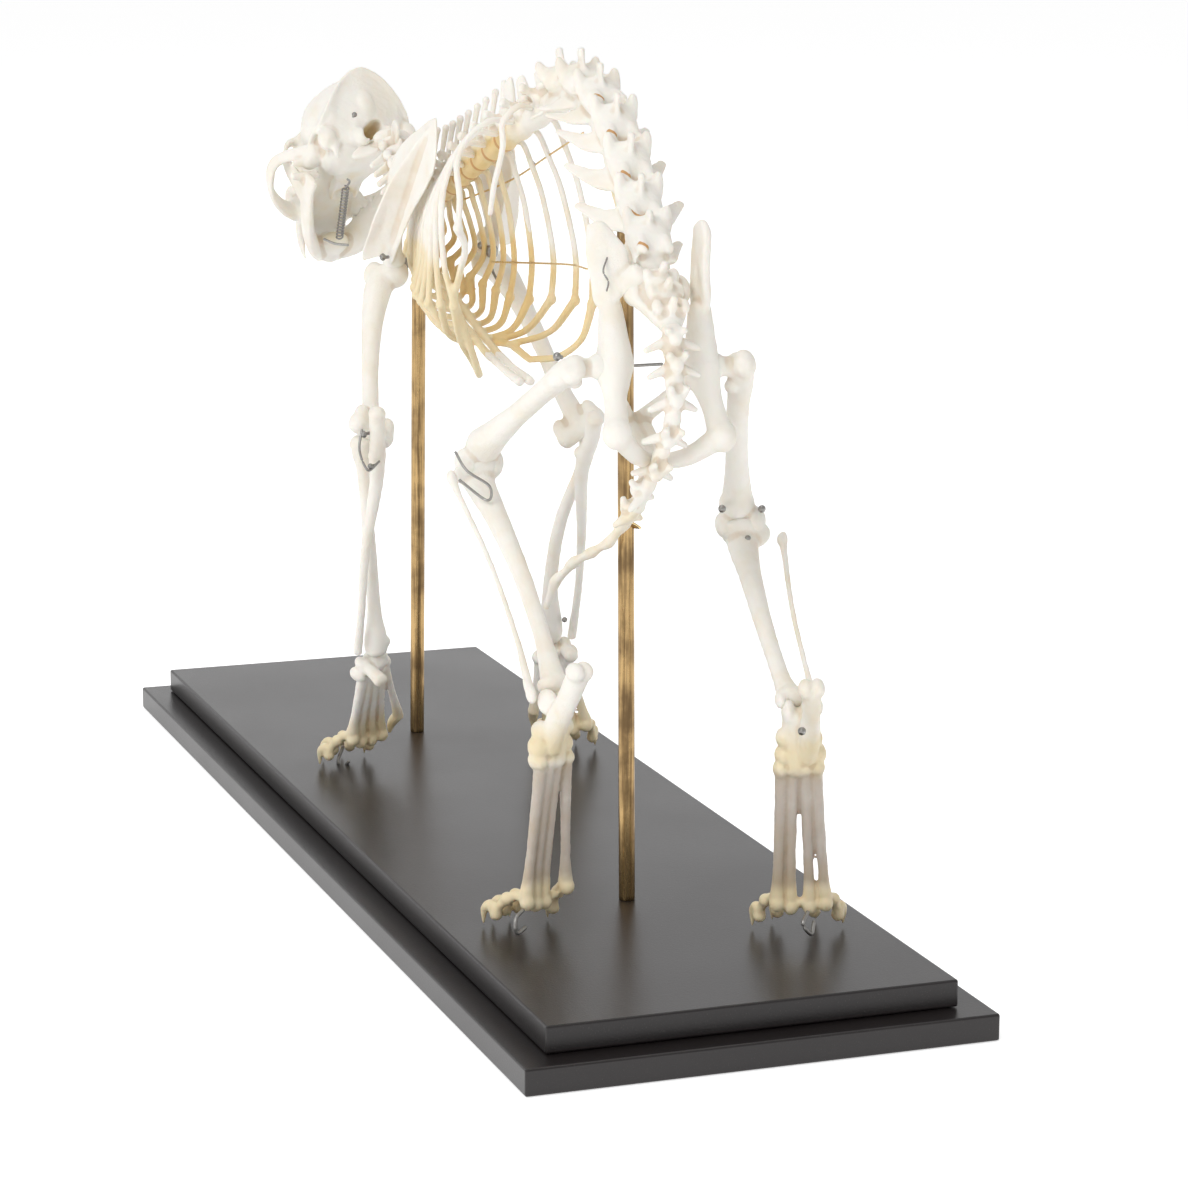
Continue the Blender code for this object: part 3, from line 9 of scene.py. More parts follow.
import bpy
import numpy as np
from mathutils import Matrix, Vector
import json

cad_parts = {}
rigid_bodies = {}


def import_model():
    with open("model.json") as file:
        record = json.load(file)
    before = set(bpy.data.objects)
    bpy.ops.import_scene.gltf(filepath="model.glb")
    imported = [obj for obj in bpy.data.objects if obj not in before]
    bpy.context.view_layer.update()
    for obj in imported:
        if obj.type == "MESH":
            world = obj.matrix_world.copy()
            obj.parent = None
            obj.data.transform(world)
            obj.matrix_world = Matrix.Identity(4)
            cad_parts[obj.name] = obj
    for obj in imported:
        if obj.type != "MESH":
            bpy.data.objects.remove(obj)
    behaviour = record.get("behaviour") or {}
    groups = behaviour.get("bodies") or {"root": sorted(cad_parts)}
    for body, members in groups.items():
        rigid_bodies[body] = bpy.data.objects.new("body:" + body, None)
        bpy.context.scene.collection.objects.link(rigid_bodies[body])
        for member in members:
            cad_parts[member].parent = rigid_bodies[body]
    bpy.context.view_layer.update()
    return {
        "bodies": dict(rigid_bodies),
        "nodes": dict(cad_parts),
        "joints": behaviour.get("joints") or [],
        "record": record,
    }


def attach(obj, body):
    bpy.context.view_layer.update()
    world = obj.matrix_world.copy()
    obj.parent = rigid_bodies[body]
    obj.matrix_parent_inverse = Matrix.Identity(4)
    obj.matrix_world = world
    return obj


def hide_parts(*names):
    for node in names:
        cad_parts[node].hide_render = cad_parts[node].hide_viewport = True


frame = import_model()
MM = 0.001
print("packed nodes:", len(frame["nodes"]))

# %% [markdown]
# The camera stands behind the cat, a little to its left, and looks slightly down, as the photograph
# does. A long lens keeps the perspective calm. The three axes of a camera are the columns of its
# matrix: right, up, and backwards.

# %% Camera
CAMERA_AT = Vector((-1.4438, 0.4804, 0.4426))
CAMERA_LOOK = Vector((0.91931, -0.33190, -0.21144)).normalized()
CAMERA_ROLL = 0.0042
CAMERA_LENS = 109.8


def look_matrix(place, look, roll=0.0):
    """Right is look cross up, up is right cross look, and both turn by the roll about the look."""
    right = look.cross(Vector((0.0, 0.0, 1.0))).normalized()
    above = right.cross(look)
    turned = right * math.cos(roll) + above * math.sin(roll)
    above = above * math.cos(roll) - right * math.sin(roll)
    return Matrix.Translation(place) @ Matrix((turned, above, -look)).transposed().to_4x4()


scene = bpy.context.scene
camera_data = bpy.data.cameras.new("camera")
camera_data.lens = CAMERA_LENS
camera_data.sensor_width = 36.0
camera_data.clip_end = 50.0
camera = bpy.data.objects.new("camera", camera_data)
camera.matrix_world = look_matrix(CAMERA_AT, CAMERA_LOOK, CAMERA_ROLL)
scene.collection.objects.link(camera)
scene.camera = camera
print("camera stands", round((CAMERA_AT - Vector((0, 0, 0.18))).length, 2), "m from the specimen")

# %% [markdown]
# Studio pictures of bones use large soft lights, so that thin ribs keep their shape and no shadow is
# hard. A big panel to the upper left is the key, a weaker one fills from the right, one hangs above,
# and a low one beyond the specimen puts a sheen on the far end of the base. A bright surround does
# the rest. The plain display transform keeps the white floor white.

# %% Lights and floor
scene.view_settings.view_transform = "Standard"


def panel(name, place, target, size, power):
    """An area light of the given size that faces the target."""
    light = bpy.data.lights.new(name, "AREA")
    light.shape = "RECTANGLE"
    light.size, light.size_y = size
    light.energy = power
    lamp = bpy.data.objects.new(name, light)
    lamp.matrix_world = look_matrix(Vector(place), (Vector(target) - Vector(place)).normalized())
    scene.collection.objects.link(lamp)


panel("key_light", (-1.4, 1.9, 2.1), (0.0, 0.0, 0.2), (1.8, 1.8), 37.0)
panel("fill_light", (-1.2, -2.0, 1.4), (0.0, 0.0, 0.2), (2.0, 1.6), 2.5)
panel("backdrop_glow", (3.2, -1.15, 0.72), (0.0, 0.0, 0.15), (3.2, 0.8), 8.0)
panel("top_light", (0.8, 0.2, 2.6), (0.0, 0.0, 0.2), (2.4, 2.0), 16.0)

SURROUND_STRENGTH = 0.50
world = bpy.data.worlds.new("surround")
world.use_nodes = True
world.node_tree.nodes["Background"].inputs["Color"].default_value = (1.0, 1.0, 1.0, 1.0)
world.node_tree.nodes["Background"].inputs["Strength"].default_value = SURROUND_STRENGTH
scene.world = world

FLOOR_REACH = 15.0
FLOOR_DROP = 0.0002
floor_mesh = bpy.data.meshes.new("floor")
corners = [(-1, -1), (1, -1), (1, 1), (-1, 1)]
places = [(x * FLOOR_REACH, y * FLOOR_REACH, -FLOOR_DROP) for x, y in corners]
floor_mesh.from_pydata(places, [], [(0, 1, 2, 3)])
floor = bpy.data.objects.new("floor", floor_mesh)
scene.collection.objects.link(floor)

print("the floor reaches", FLOOR_REACH, "m each way")

# %% [markdown]
# Materials are graphs of nodes. Reading them as sums is easier, so one small class wraps a socket and
# gives it plus, minus, times and divide: each sign adds one Math node. Every other node comes from
# one method that takes its type, its settings and what goes into its sockets.

# %% Shader sums
class Wire:
    """A socket that carries one value: a sign between two of them adds a Math node."""

    def __init__(self, graph, socket):
        self.graph = graph
        self.socket = socket

    def sum_of(self, operation, first, second):
        return self.graph.add("ShaderNodeMath", {"operation": operation}, {0: first, 1: second})

    def __add__(self, other):
        return self.sum_of("ADD", self, other)

    def __radd__(self, other):
        return self.sum_of("ADD", other, self)

    def __sub__(self, other):
        return self.sum_of("SUBTRACT", self, other)

    def __rsub__(self, other):
        return self.sum_of("SUBTRACT", other, self)

    def __mul__(self, other):
        return self.sum_of("MULTIPLY", self, other)

    def __rmul__(self, other):
        return self.sum_of("MULTIPLY", other, self)

    def __truediv__(self, other):
        return self.sum_of("DIVIDE", self, other)

    def __pow__(self, other):
        return self.sum_of("POWER", self, other)


class Finish:
    """A material whose nodes are added one call at a time."""

    def __init__(self, name, **constants):
        self.material = bpy.data.materials.new(name)
        self.material.use_nodes = True
        self.tree = self.material.node_tree
        self.shader = self.tree.nodes["Principled BSDF"]
        for socket, value in constants.items():
            self.shader.inputs[socket.replace("_", " ")].default_value = value
        self.place = self.add("ShaderNodeTexCoord", {}, {}, "Object")

    def fill(self, node, key, value):
        """Puts a value or a link into one socket of a node."""
        if isinstance(value, Wire):
            self.tree.links.new(value.socket, node.inputs[key])
        elif isinstance(value, tuple) and len(value) == 3 and node.inputs[key].type == "RGBA":
            node.inputs[key].default_value = (*value, 1.0)
        else:
            node.inputs[key].default_value = value

    def add(self, kind, settings, sockets, output=0):
        """A node of this type with its settings first, then its sockets; gives back one output."""
        node = self.tree.nodes.new(kind)
        for name, value in settings.items():
            if name == "stops":
                ramp = node.color_ramp
                while len(ramp.elements) < len(value):
                    ramp.elements.new(0.5)
                for element, (place, colour) in zip(ramp.elements, value):
                    element.position = place
                    element.color = (*colour, 1.0)
            else:
                setattr(node, name, value)
        for key, value in sockets.items():
            self.fill(node, key, value)
        return Wire(self, node.outputs[output])

    def noise(self, scale, detail=3.0, roughness=0.55, place=None):
        """Cloudy values around one half, this many clouds to the metre."""
        sockets = {"Vector": place or self.place, "Scale": scale, "Detail": detail, "Roughness": roughness}
        return self.add("ShaderNodeTexNoise", {}, sockets)

    def between(self, value, low, high):
        """Nought below low, one above high and a smooth step between them."""
        sockets = {"Value": value, "From Min": low, "From Max": high}
        return self.add("ShaderNodeMapRange", {"interpolation_type": "SMOOTHSTEP"}, sockets)

    def mix(self, share, first, second):
        """The first colour where the share is nought and the second where it is one."""
        settings = {"data_type": "RGBA", "clamp_factor": True}
        return self.add("ShaderNodeMix", settings, {0: share, 6: first, 7: second}, 2)

    def painted(self, name):
        """A value that was worked out on the mesh and stored with its points."""
        return self.add("ShaderNodeAttribute", {"attribute_name": name}, {}, "Fac")

    def bump(self, height, distance, strength=1.0):
        """The height as small dents of the surface."""
        return self.add("ShaderNodeBump", {}, {"Height": height, "Distance": distance, "Strength": strength})

    def wear(self, **links):
        """Feeds the shader's own sockets and gives back the finished material."""
        for socket, value in links.items():
            self.fill(self.shader, socket.replace("_", " "), value)
        return self.material


# %% [markdown]
# Bleached bone is ivory white where it is dense and smooth, and warmer where grease, glue or dried
# ligament stayed: round joints, on the paws and in the cartilage of the ribs. Its hollows get a darker
# brown as painted shade. Four values painted on each mesh say where that is. "warm" is nought on a
# clean shaft and one on cartilage, "crease" is high in hollows and paints the shade there, "glow"
# paints amber light glowing through thin bone in the slits between loin vertebrae and the amber of
# the discs under the chest, and "skin" where dried skin stayed. Fine pores and faint lines of the
# grain come from noise.

# %% Bone
CLEAN_BONE = (0.905, 0.875, 0.81)
DULL_BONE = (0.85, 0.78, 0.65)
# The next colour is painted shade: a darker brown for the hollows.
HOLLOW_SHADE = (0.56, 0.38, 0.20)
LIGAMENT = (0.83, 0.69, 0.41)
CARTILAGE = (0.80, 0.58, 0.25)
# Amber: painted light glowing through thin bone at the loin openings, and the colour of the discs.
AMBER = (0.60, 0.32, 0.11)
DRIED_SKIN = (0.34, 0.25, 0.18)


def bone_finish():
    """Ivory mixed with ligament yellow, cartilage tan, amber, dried skin, and painted shade in the hollows.
    """
    made = Finish("bleached bone", Subsurface_Weight=0.12, Subsurface_Scale=0.002, IOR=1.5)
    warm, crease = made.painted("warm"), made.painted("crease")
    clouds = made.noise(70.0, 4.0)
    patches = made.noise(28.0, 3.0, 0.6)
    speckle = made.noise(900.0, 3.0, 0.7)
    stain = made.between(warm + (clouds - 0.5) * 0.6 + (patches - 0.5) * 0.3, 0.20, 0.72)
    tan = made.between(warm + (clouds - 0.5) * 0.35, 0.70, 1.05)
    colour = made.mix(made.between(clouds + (patches - 0.5) * 0.8, 0.40, 0.75) * 0.6, CLEAN_BONE, DULL_BONE)
    colour = made.mix(stain * 0.85, colour, LIGAMENT)
    colour = made.mix(tan * 0.9, colour, CARTILAGE)
    # Painted shade: where crease marks a hollow, a darker brown is mixed in.
    hollow = made.between(crease + (speckle - 0.5) * 0.25 + (clouds - 0.5) * 0.5, 0.25, 1.05)
    colour = made.mix(hollow * (0.16 + clouds * 0.34), colour, HOLLOW_SHADE)
    skin_share = made.between(made.painted("skin") + (clouds - 0.5) * 0.7, 0.25, 0.80)
    colour = made.mix(skin_share * 0.62, colour, DRIED_SKIN)
    # Painted light: the glow value mixes in amber along the loin openings, and at the discs under the chest.
    colour = made.mix(made.between(made.painted("glow"), 0.15, 0.75), colour, AMBER)
    pores = made.noise(2600.0, 2.0, 0.8)
    grain = made.noise(420.0, 4.0, 0.6)
    height = grain * 0.7 + made.between(pores, 0.30, 0.5) * 0.3
    rough = 0.40 + clouds * 0.14 - stain * 0.08
    return made.wear(Base_Color=colour, Roughness=rough, Normal=made.bump(height, 0.00034, 0.7))


BONE = bone_finish()

print("nodes in the bone material:", len(BONE.node_tree.nodes))

# %% [markdown]
# The floor is a sheet of white paper board: nearly white, without gloss, and with a very faint
# unevenness, so that it is a surface and not a void.

# %% Floor board
board = Finish("white board", Roughness=0.9, Emission_Color=(1.0, 1.0, 1.0, 1.0), Emission_Strength=0.53)
cloud = board.noise(3.0, 2.0)
paper = board.mix(cloud * 0.3, (0.90, 0.90, 0.90), (0.87, 0.87, 0.87))
floor_mesh.materials.append(board.wear(Base_Color=paper))

print("nodes in the board material:", len(board.tree.nodes))

# %% [markdown]
# The base is painted a near black brown with a fine, slightly pebbled satin film. Its edges have worn
# to a paler line, which the finish leaves out. The rods are drawn brass that has gone brown in streaks
# along their length.

# %% Stand finishes
def base_finish():
    """Near black film: its clouds shift the gloss, and its fine pebbles are bump."""
    made = Finish("dark satin paint", IOR=1.5)
    clouds = made.noise(14.0, 4.0)
    pebbles = made.noise(1300.0, 2.0, 0.6)
    dust = made.between(made.noise(2100.0, 1.0), 0.66, 0.75)
    colour = made.mix(clouds, (0.009, 0.007, 0.007), (0.019, 0.015, 0.015))
    colour = made.mix(dust * 0.12, colour, (0.22, 0.20, 0.18))
    rough = 0.27 + clouds * 0.09
    return made.wear(Base_Color=colour, Roughness=rough, Normal=made.bump(pebbles, 0.00010, 0.55))


def brass_finish(name, bright, brown):
    """Brass with brown streaks: noise stretched along the rod by a Mapping node."""
    made = Finish(name, Metallic=1.0)
    along = made.add("ShaderNodeMapping", {}, {"Vector": made.place, "Scale": (1.0, 1.0, 0.03)}, "Vector")
    streaks = made.noise(900.0, 3.0, 0.6, along)
    clouds = made.noise(60.0, 4.0)
    tarnish = made.between(clouds * 0.6 + streaks * 0.5, 0.42, 0.68)
    colour = made.mix(tarnish, bright, brown)
    rough = 0.22 + tarnish * 0.22
    return made.wear(Base_Color=colour, Roughness=rough, Normal=made.bump(streaks, 0.00003, 0.4))


def steel_finish():
    """Bare steel wire and screws, slightly oxidised."""
    made = Finish("steel wire", Metallic=1.0)
    clouds = made.noise(800.0, 3.0)
    return made.wear(
        Base_Color=made.mix(clouds, (0.46, 0.45, 0.43), (0.24, 0.23, 0.22)), Roughness=0.30 + clouds * 0.2,
    )


PAINT, STEEL = base_finish(), steel_finish()
BRASS = brass_finish("aged brass", (0.52, 0.35, 0.16), (0.20, 0.13, 0.065))
BRASS_WIRE = brass_finish("brass wire", (0.90, 0.70, 0.36), (0.66, 0.48, 0.24))
for name in ("stand_base_lower", "stand_base_upper"):
    slots = frame["nodes"][name].data.materials
    slots.clear()
    slots.append(PAINT)

print("stand finishes:", PAINT.name, BRASS.name, BRASS_WIRE.name, STEEL.name)

# %% [markdown]
# Every bone is made of a few surfaces. Each is worked out as a whole grid of points: one parameter
# runs along the bone, the other round it. A smooth line through a few named points gives the path,
# and a rounded cap closes each end, so that the surface holds a volume.

# %% Smooth lines
def line_through(points, count):
    """Cubic pieces through all points: each sample weighs the four points around it."""
    knots = np.asarray(points, float)
    knots = np.concatenate([2 * knots[:1] - knots[1:2], knots, 2 * knots[-1:] - knots[-2:-1]])
    place = np.linspace(0.0, len(knots) - 3.0, count)
    first = np.minimum(place.astype(int), len(knots) - 4)
    t = (place - first).reshape(-1, *[1] * (knots.ndim - 1))
    before, here, after, beyond = (knots[first + i] for i in range(4))
    cubic = (3 * (here - after) + beyond - before) * t**3
    square = (2 * before - 5 * here + 4 * after - beyond) * t**2
    return 0.5 * (2 * here + (after - before) * t + square + cubic)


def unit(vectors):
    """Vectors divided by their lengths."""
    return vectors / np.maximum(np.linalg.norm(vectors, axis=-1, keepdims=True), 1e-9)

print("height of a smooth line at a peak of one:", line_through([(0, 0, 0), (1, 0, 1), (2, 0, 0)], 5)[2, 2])

# %% Closed grids
def closed_grid(rings):
    """Triangles over a grid of rings, with the first and the last ring each closed by one point."""
    count, sides = rings.shape[:2]
    points = np.concatenate([rings.reshape(-1, 3), rings[:1].mean(1), rings[-1:].mean(1)])
    row, step = np.meshgrid(np.arange(count - 1), np.arange(sides), indexing="ij")
    after = (step + 1) % sides
    a, b = row * sides + step, row * sides + after
    c, d = a + sides, b + sides
    walls = np.stack([a, b, d, a, d, c], -1).reshape(-1, 3)
    around = np.arange(sides)
    beyond = (around + 1) % sides
    low = np.stack([beyond, around, np.full(sides, count * sides)], -1)
    high = np.stack([around, beyond, np.full(sides, count * sides + 1)], -1)
    high[:, :2] += (count - 1) * sides
    return points, np.concatenate([walls, low, high])


def skin(middle, across, above, sides=20, square=1.0, cap=0.7):
    """Rings of middle + across cos + above sin, each power of cos and sin raised for square sections.

    At both ends the ring shrinks as a quarter circle while its middle moves on by cap times its size.
    """
    angle = np.linspace(0.0, 2 * np.pi, sides, endpoint=False)
    cosine, sine = np.cos(angle), np.sin(angle)
    cosine = np.sign(cosine) * np.abs(cosine) ** square
    sine = np.sign(sine) * np.abs(sine) ** square
    turn = np.linspace(0.0, 0.5 * np.pi, 6)[:-1]
    ends = []
    for end, inner in ((0, 1), (-1, -2)):
        ahead = unit(middle[end] - middle[inner])
        size = 0.5 * (np.linalg.norm(across[end]) + np.linalg.norm(above[end]))
        shift = middle[end] + np.sin(turn)[:, None] * ahead * size * cap
        shrink = np.cos(turn)[:, None]
        ends.append((shift, across[end] * shrink, above[end] * shrink))
    start = [part[::-1] for part in ends[0]]
    parts = zip(start, (middle[1:-1], across[1:-1], above[1:-1]), ends[1])
    middle, across, above = (np.concatenate(part) for part in parts)
    rings = middle[:, None] + across[:, None] * cosine[:, None] + above[:, None] * sine[:, None]
    return closed_grid(rings)


# %% Rods, lumps and plates
def sweep(points, radii, up=(0.13, 0.31, 0.94), sides=18, square=1.0, cap=0.7):
    """A rod along a smooth line: its section is round, or an ellipse where a radius is a pair.

    The pair is the half width to the side and the half width towards up.
    """
    radii = [r if isinstance(r, tuple) else (r, r) for r in radii]
    points = np.array([list(p) for p in points], float)
    reach = np.linalg.norm(np.diff(points, axis=0), axis=1).sum()
    count = int(np.clip(reach / 0.8, 6, 160))
    middle = line_through(points, count)
    sizes = np.maximum(line_through(radii, count), 0.15)
    ahead = unit(np.gradient(middle, axis=0))
    across = unit(np.cross(ahead, np.array(list(up), float)))
    above = np.cross(across, ahead)
    return skin(middle, across * sizes[:, :1], above * sizes[:, 1:], sides, square, cap)


def blob(centre, size, axes=None, sides=24, square=1.0):
    """An egg: centre + size times the direction at each longitude and latitude."""
    rise = np.linspace(-0.5 * np.pi, 0.5 * np.pi, sides // 2 + 1)[1:-1, None]
    round_it = np.linspace(0.0, 2 * np.pi, sides, endpoint=False)[None]
    flat = np.cos(rise) * np.ones_like(round_it)
    ball = np.stack(
        [flat * np.cos(round_it), flat * np.sin(round_it), np.sin(rise) * np.ones_like(round_it)], -1,
    )
    ball = np.sign(ball) * np.abs(ball) ** square * np.array(size, float)
    turn = np.array(axes) if axes is not None else np.eye(3)
    return closed_grid(ball @ turn.T + np.array(list(centre), float))


def slab(outline, thickness, soft=True):
    """A flat bone: rings run from the middle of one face, over the rim, to the middle of the other.

    Along a half turn the share of the outline is sine and the height is cosine, both flattened, which
    gives a rim with a round edge.
    """
    rim = np.array([list(p) for p in outline], float)
    if soft:
        rim = line_through(np.concatenate([rim, rim[:1]]), 6 * len(rim) + 1)[:-1]
    middle = rim.mean(0)
    turned = np.roll(rim, -1, axis=0)
    face = unit(np.cross(rim - middle, turned - middle).sum(0))
    rise = np.linspace(0.0, np.pi, 15)[1:-1, None, None]
    share = np.sin(rise) ** 0.35
    height = np.sign(np.cos(rise)) * np.abs(np.cos(rise)) ** 0.6 * 0.5 * thickness
    return closed_grid(middle + (rim - middle)[None] * share - face * height)


def ribbon(left, right, thickness, count=40, sides=20, cap=0.3):
    """A blade between two edge lines: the section is a flat ellipse that spans them."""
    left, right = line_through([list(p) for p in left], count), line_through([list(p) for p in right], count)
    middle, across = 0.5 * (left + right), 0.5 * (right - left)
    thick = line_through(np.array(thickness, float)[:, None], count)
    above = unit(np.cross(unit(np.gradient(middle, axis=0)), across)) * thick * 0.5
    return skin(middle, across, above, sides, 0.8, cap)


# %% [markdown]
# A bone is one piece, so the surfaces are melted together: a voxel remesh wraps the sum of their
# volumes in one even skin. That skin still has small steps, and a few rounds of smoothing take them
# out. Each round moves every point to the mean of its neighbours and then a little way back, so that
# thin parts don't shrink.

# %% Melting surfaces into one bone
def neighbours_mean(values, ends):
    """For each point the mean of the values at the far ends of its edges."""
    count = len(values)
    many = np.bincount(ends.ravel(), minlength=count)[:, None]
    first, second = ends[:, 0], ends[:, 1]
    total = np.stack(
        [
            np.bincount(first, values[second, i], count) + np.bincount(second, values[first, i], count)
            for i in range(values.shape[1])
        ],
        -1,
    )
    return total / np.maximum(many, 1)


def mesh_arrays(mesh):
    """The points and the edges of a mesh as arrays."""
    points = np.empty(len(mesh.vertices) * 3)
    mesh.vertices.foreach_get("co", points)
    ends = np.empty(len(mesh.edges) * 2, int)
    mesh.edges.foreach_get("vertices", ends)
    return points.reshape(-1, 3), ends.reshape(-1, 2)


def mesh_from(surfaces, name):
    """One mesh that holds several surfaces, its points given in millimetres."""
    start = np.cumsum([0] + [len(points) for points, _ in surfaces])
    points = np.concatenate([points for points, _ in surfaces]) * MM
    faces = np.concatenate([faces + shift for (_, faces), shift in zip(surfaces, start)])
    mesh = bpy.data.meshes.new(name)
    mesh.vertices.add(len(points))
    mesh.vertices.foreach_set("co", points.ravel())
    mesh.loops.add(faces.size)
    mesh.loops.foreach_set("vertex_index", faces.ravel())
    mesh.polygons.add(len(faces))
    mesh.polygons.foreach_set("loop_start", np.arange(0, faces.size, 3))
    mesh.update(calc_edges=True)
    mesh.validate()
    return mesh


def applied(thing):
    """The object's mesh with its modifiers applied."""
    return bpy.data.meshes.new_from_object(thing.evaluated_get(bpy.context.evaluated_depsgraph_get()))


def melt(thing, voxel):
    """Wraps the object's closed surfaces in one even skin."""
    step = thing.modifiers.new("melt", "REMESH")
    step.mode = "VOXEL"
    step.voxel_size = voxel * MM
    mesh = applied(thing)
    thing.modifiers.clear()
    thing.data = mesh


def carve(thing, surfaces):
    """Takes the volume of these surfaces away."""
    cutter = bpy.data.objects.new("cutter", mesh_from(surfaces, "cutter"))
    scene.collection.objects.link(cutter)
    melt(cutter, 0.5)
    step = thing.modifiers.new("carve", "BOOLEAN")
    step.operation = "DIFFERENCE"
    step.solver = "MANIFOLD"
    step.object = cutter
    mesh = applied(thing)
    thing.modifiers.clear()
    thing.data = mesh
    bpy.data.objects.remove(cutter)


def relief(points, waves, depth, seed):
    """Uneven height: the mean of many sine waves in random directions, this long in millimetres."""
    draw = np.random.default_rng(seed)
    directions = unit(draw.normal(size=(14, 3))) * (2 * np.pi / (waves * MM))
    directions *= draw.uniform(0.6, 1.6, (14, 1))
    phases = draw.uniform(0, 2 * np.pi, 14)
    return np.sin(points @ directions.T + phases).mean(1) * depth * MM


# %% [markdown]
# After the melting, four values are painted on the points. "warm" fades out from a few named spots,
# such as joints. "crease" compares a point with the mean of its neighbours over a wider and wider
# ring: where the mean lies outside the surface the point is in a hollow, and there it paints shade.
# "glow" fades out from the lines of the gaps between vertebrae, and "skin" follows a rule that a bone
# can be given.

# %% Painting and finishing a bone
def paint(mesh, name, values):
    """Stores one value for each point of the mesh."""
    layer = mesh.attributes.new(name, "FLOAT", "POINT")
    layer.data.foreach_set("value", np.clip(values, 0.0, 1.0).astype(np.float32))


def warmth(points, base, spots):
    """The base value, raised round each spot (x, y, z, reach, strength) by a bell of that reach."""
    value = np.full(len(points), float(base))
    for x, y, z, reach, strength in spots:
        apart = np.linalg.norm(points / MM - (x, y, z), axis=1)
        value = np.maximum(value, strength * np.exp(-((apart / reach) ** 2)))
    return value


def glow_near(points, lines, reach):
    """One on the points within reach of the lines, falling off to nought at twice the reach."""
    value = np.zeros(len(points))
    for line in lines:
        for place in line_through([list(p) for p in line], 2 * len(line)):
            apart = np.linalg.norm(points / MM - place, axis=1)
            value = np.maximum(value, np.clip(2.0 - apart / reach, 0.0, 1.0))
    return value


def show(thing, nodes, finish):
    """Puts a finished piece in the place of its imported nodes."""
    thing.data.materials.clear()
    thing.data.materials.append(finish)
    thing.data.shade_smooth()
    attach(thing, "root")
    if nodes:
        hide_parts(*nodes)


def normals_of(mesh):
    """The direction of the surface at each point."""
    found = np.empty(len(mesh.vertices) * 3)
    mesh.vertex_normals.foreach_get("vector", found)
    return found.reshape(-1, 3)


def swell(thing, distance):
    """Moves every point along its normal: p + distance n. Out, melted and back in, it fills the
    sharp seams between the pieces."""
    points, ends = mesh_arrays(thing.data)
    points = points + normals_of(thing.data) * distance * MM
    thing.data.vertices.foreach_set("co", points.ravel())
    thing.data.update()


total_triangles = 0


def bone(name, surfaces, voxel=0.6, passes=6, base=0.05, spots=(), cuts=(), rough=0.12, slot="bone",
         rule=None, glows=(), reach=0.7,
         skin_rule=None, blend=0.7):
    """Melts, carves, smooths, roughens and paints one bone, and shows it in place of its node."""
    global total_triangles
    thing = bpy.data.objects.new(name, mesh_from(surfaces, name))
    scene.collection.objects.link(thing)
    melt(thing, voxel)
    if blend:
        swell(thing, blend)
        melt(thing, voxel)
        swell(thing, -blend)
    if cuts:
        carve(thing, cuts)
        melt(thing, voxel)
    points, ends = mesh_arrays(thing.data)
    for _ in range(passes):
        points += 0.6 * (neighbours_mean(points, ends) - points)
        points -= 0.58 * (neighbours_mean(points, ends) - points)
    thing.data.vertices.foreach_set("co", points.ravel())
    thing.data.update()
    normals = normals_of(thing.data)
    seed = sum(map(ord, name))
    height = relief(points, 7.0, 1.6 * rough, seed) + relief(points, 2.4, rough, seed + 1)
    mean = points
    for _ in range(5):
        mean = neighbours_mean(mean, ends)
    hollow = ((mean - points) * normals).sum(1) / MM
    for _ in range(5):
        hollow = neighbours_mean(hollow[:, None], ends)[:, 0]
    points = points + normals * height[:, None]
    thing.data.vertices.foreach_set("co", points.ravel())
    thing.data.update()
    paint(thing.data, "crease", hollow / (0.22 * voxel))
    warm = warmth(points, base, spots)
    if rule:
        warm = np.maximum(warm, rule(points / MM))
    paint(thing.data, "warm", warm)
    paint(thing.data, "glow", glow_near(points, glows, reach))
    paint(thing.data, "skin", skin_rule(points / MM) if skin_rule else np.zeros(len(points)))
    show(thing, [name], BONE)
    total_triangles += 2 * len(thing.data.polygons)
    return thing


# %% [markdown]
# The pose is a table of joints, in millimetres from the middle of the base: shoulders, elbows,
# wrists, hips, knees, hocks and the balls of the feet. A mounter would set the same points with
# clamps before gluing. Every bone is then built between two of them, so a joint is moved in one
# place only.

# %% The joints of the pose
BASE_TOP = 21.16
GAP = 0.3
# Joints of the limbs
SHOULDER_L = (81.0, 26.0, 243.4)
ELBOW_L = (33.0, 50.0, 177.5)
WRIST_L = (50.5, 44.0, 78.0)
KNUCKLE_L = (74.0, 41.0, 37.0)
SCAPULA_TOP_L = (29.0, 21.0, 318.0)
SHOULDER_R = (79.5, -18.5, 246.5)
ELBOW_R = (4.3, -38.5, 179.4)
WRIST_R = (53.0, -40.5, 77.7)
KNUCKLE_R = (64.0, -50.7, 37.0)
SCAPULA_TOP_R = (30.0, -4.0, 317.0)
HIP_L = (-198.0, 29.5, 242.0)
KNEE_L = (-99.0, 46.6, 192.0)
HOCK_L = (-188.0, 42.0, 114.0)
FOOT_L = (-183.0, 46.0, 36.0)
HIP_R = (-204.0, -15.0, 241.0)
KNEE_R = (-139.0, -52.0, 167.0)
HOCK_R = (-232.0, -38.5, 113.5)
FOOT_R = (-221.0, -45.5, 36.0)

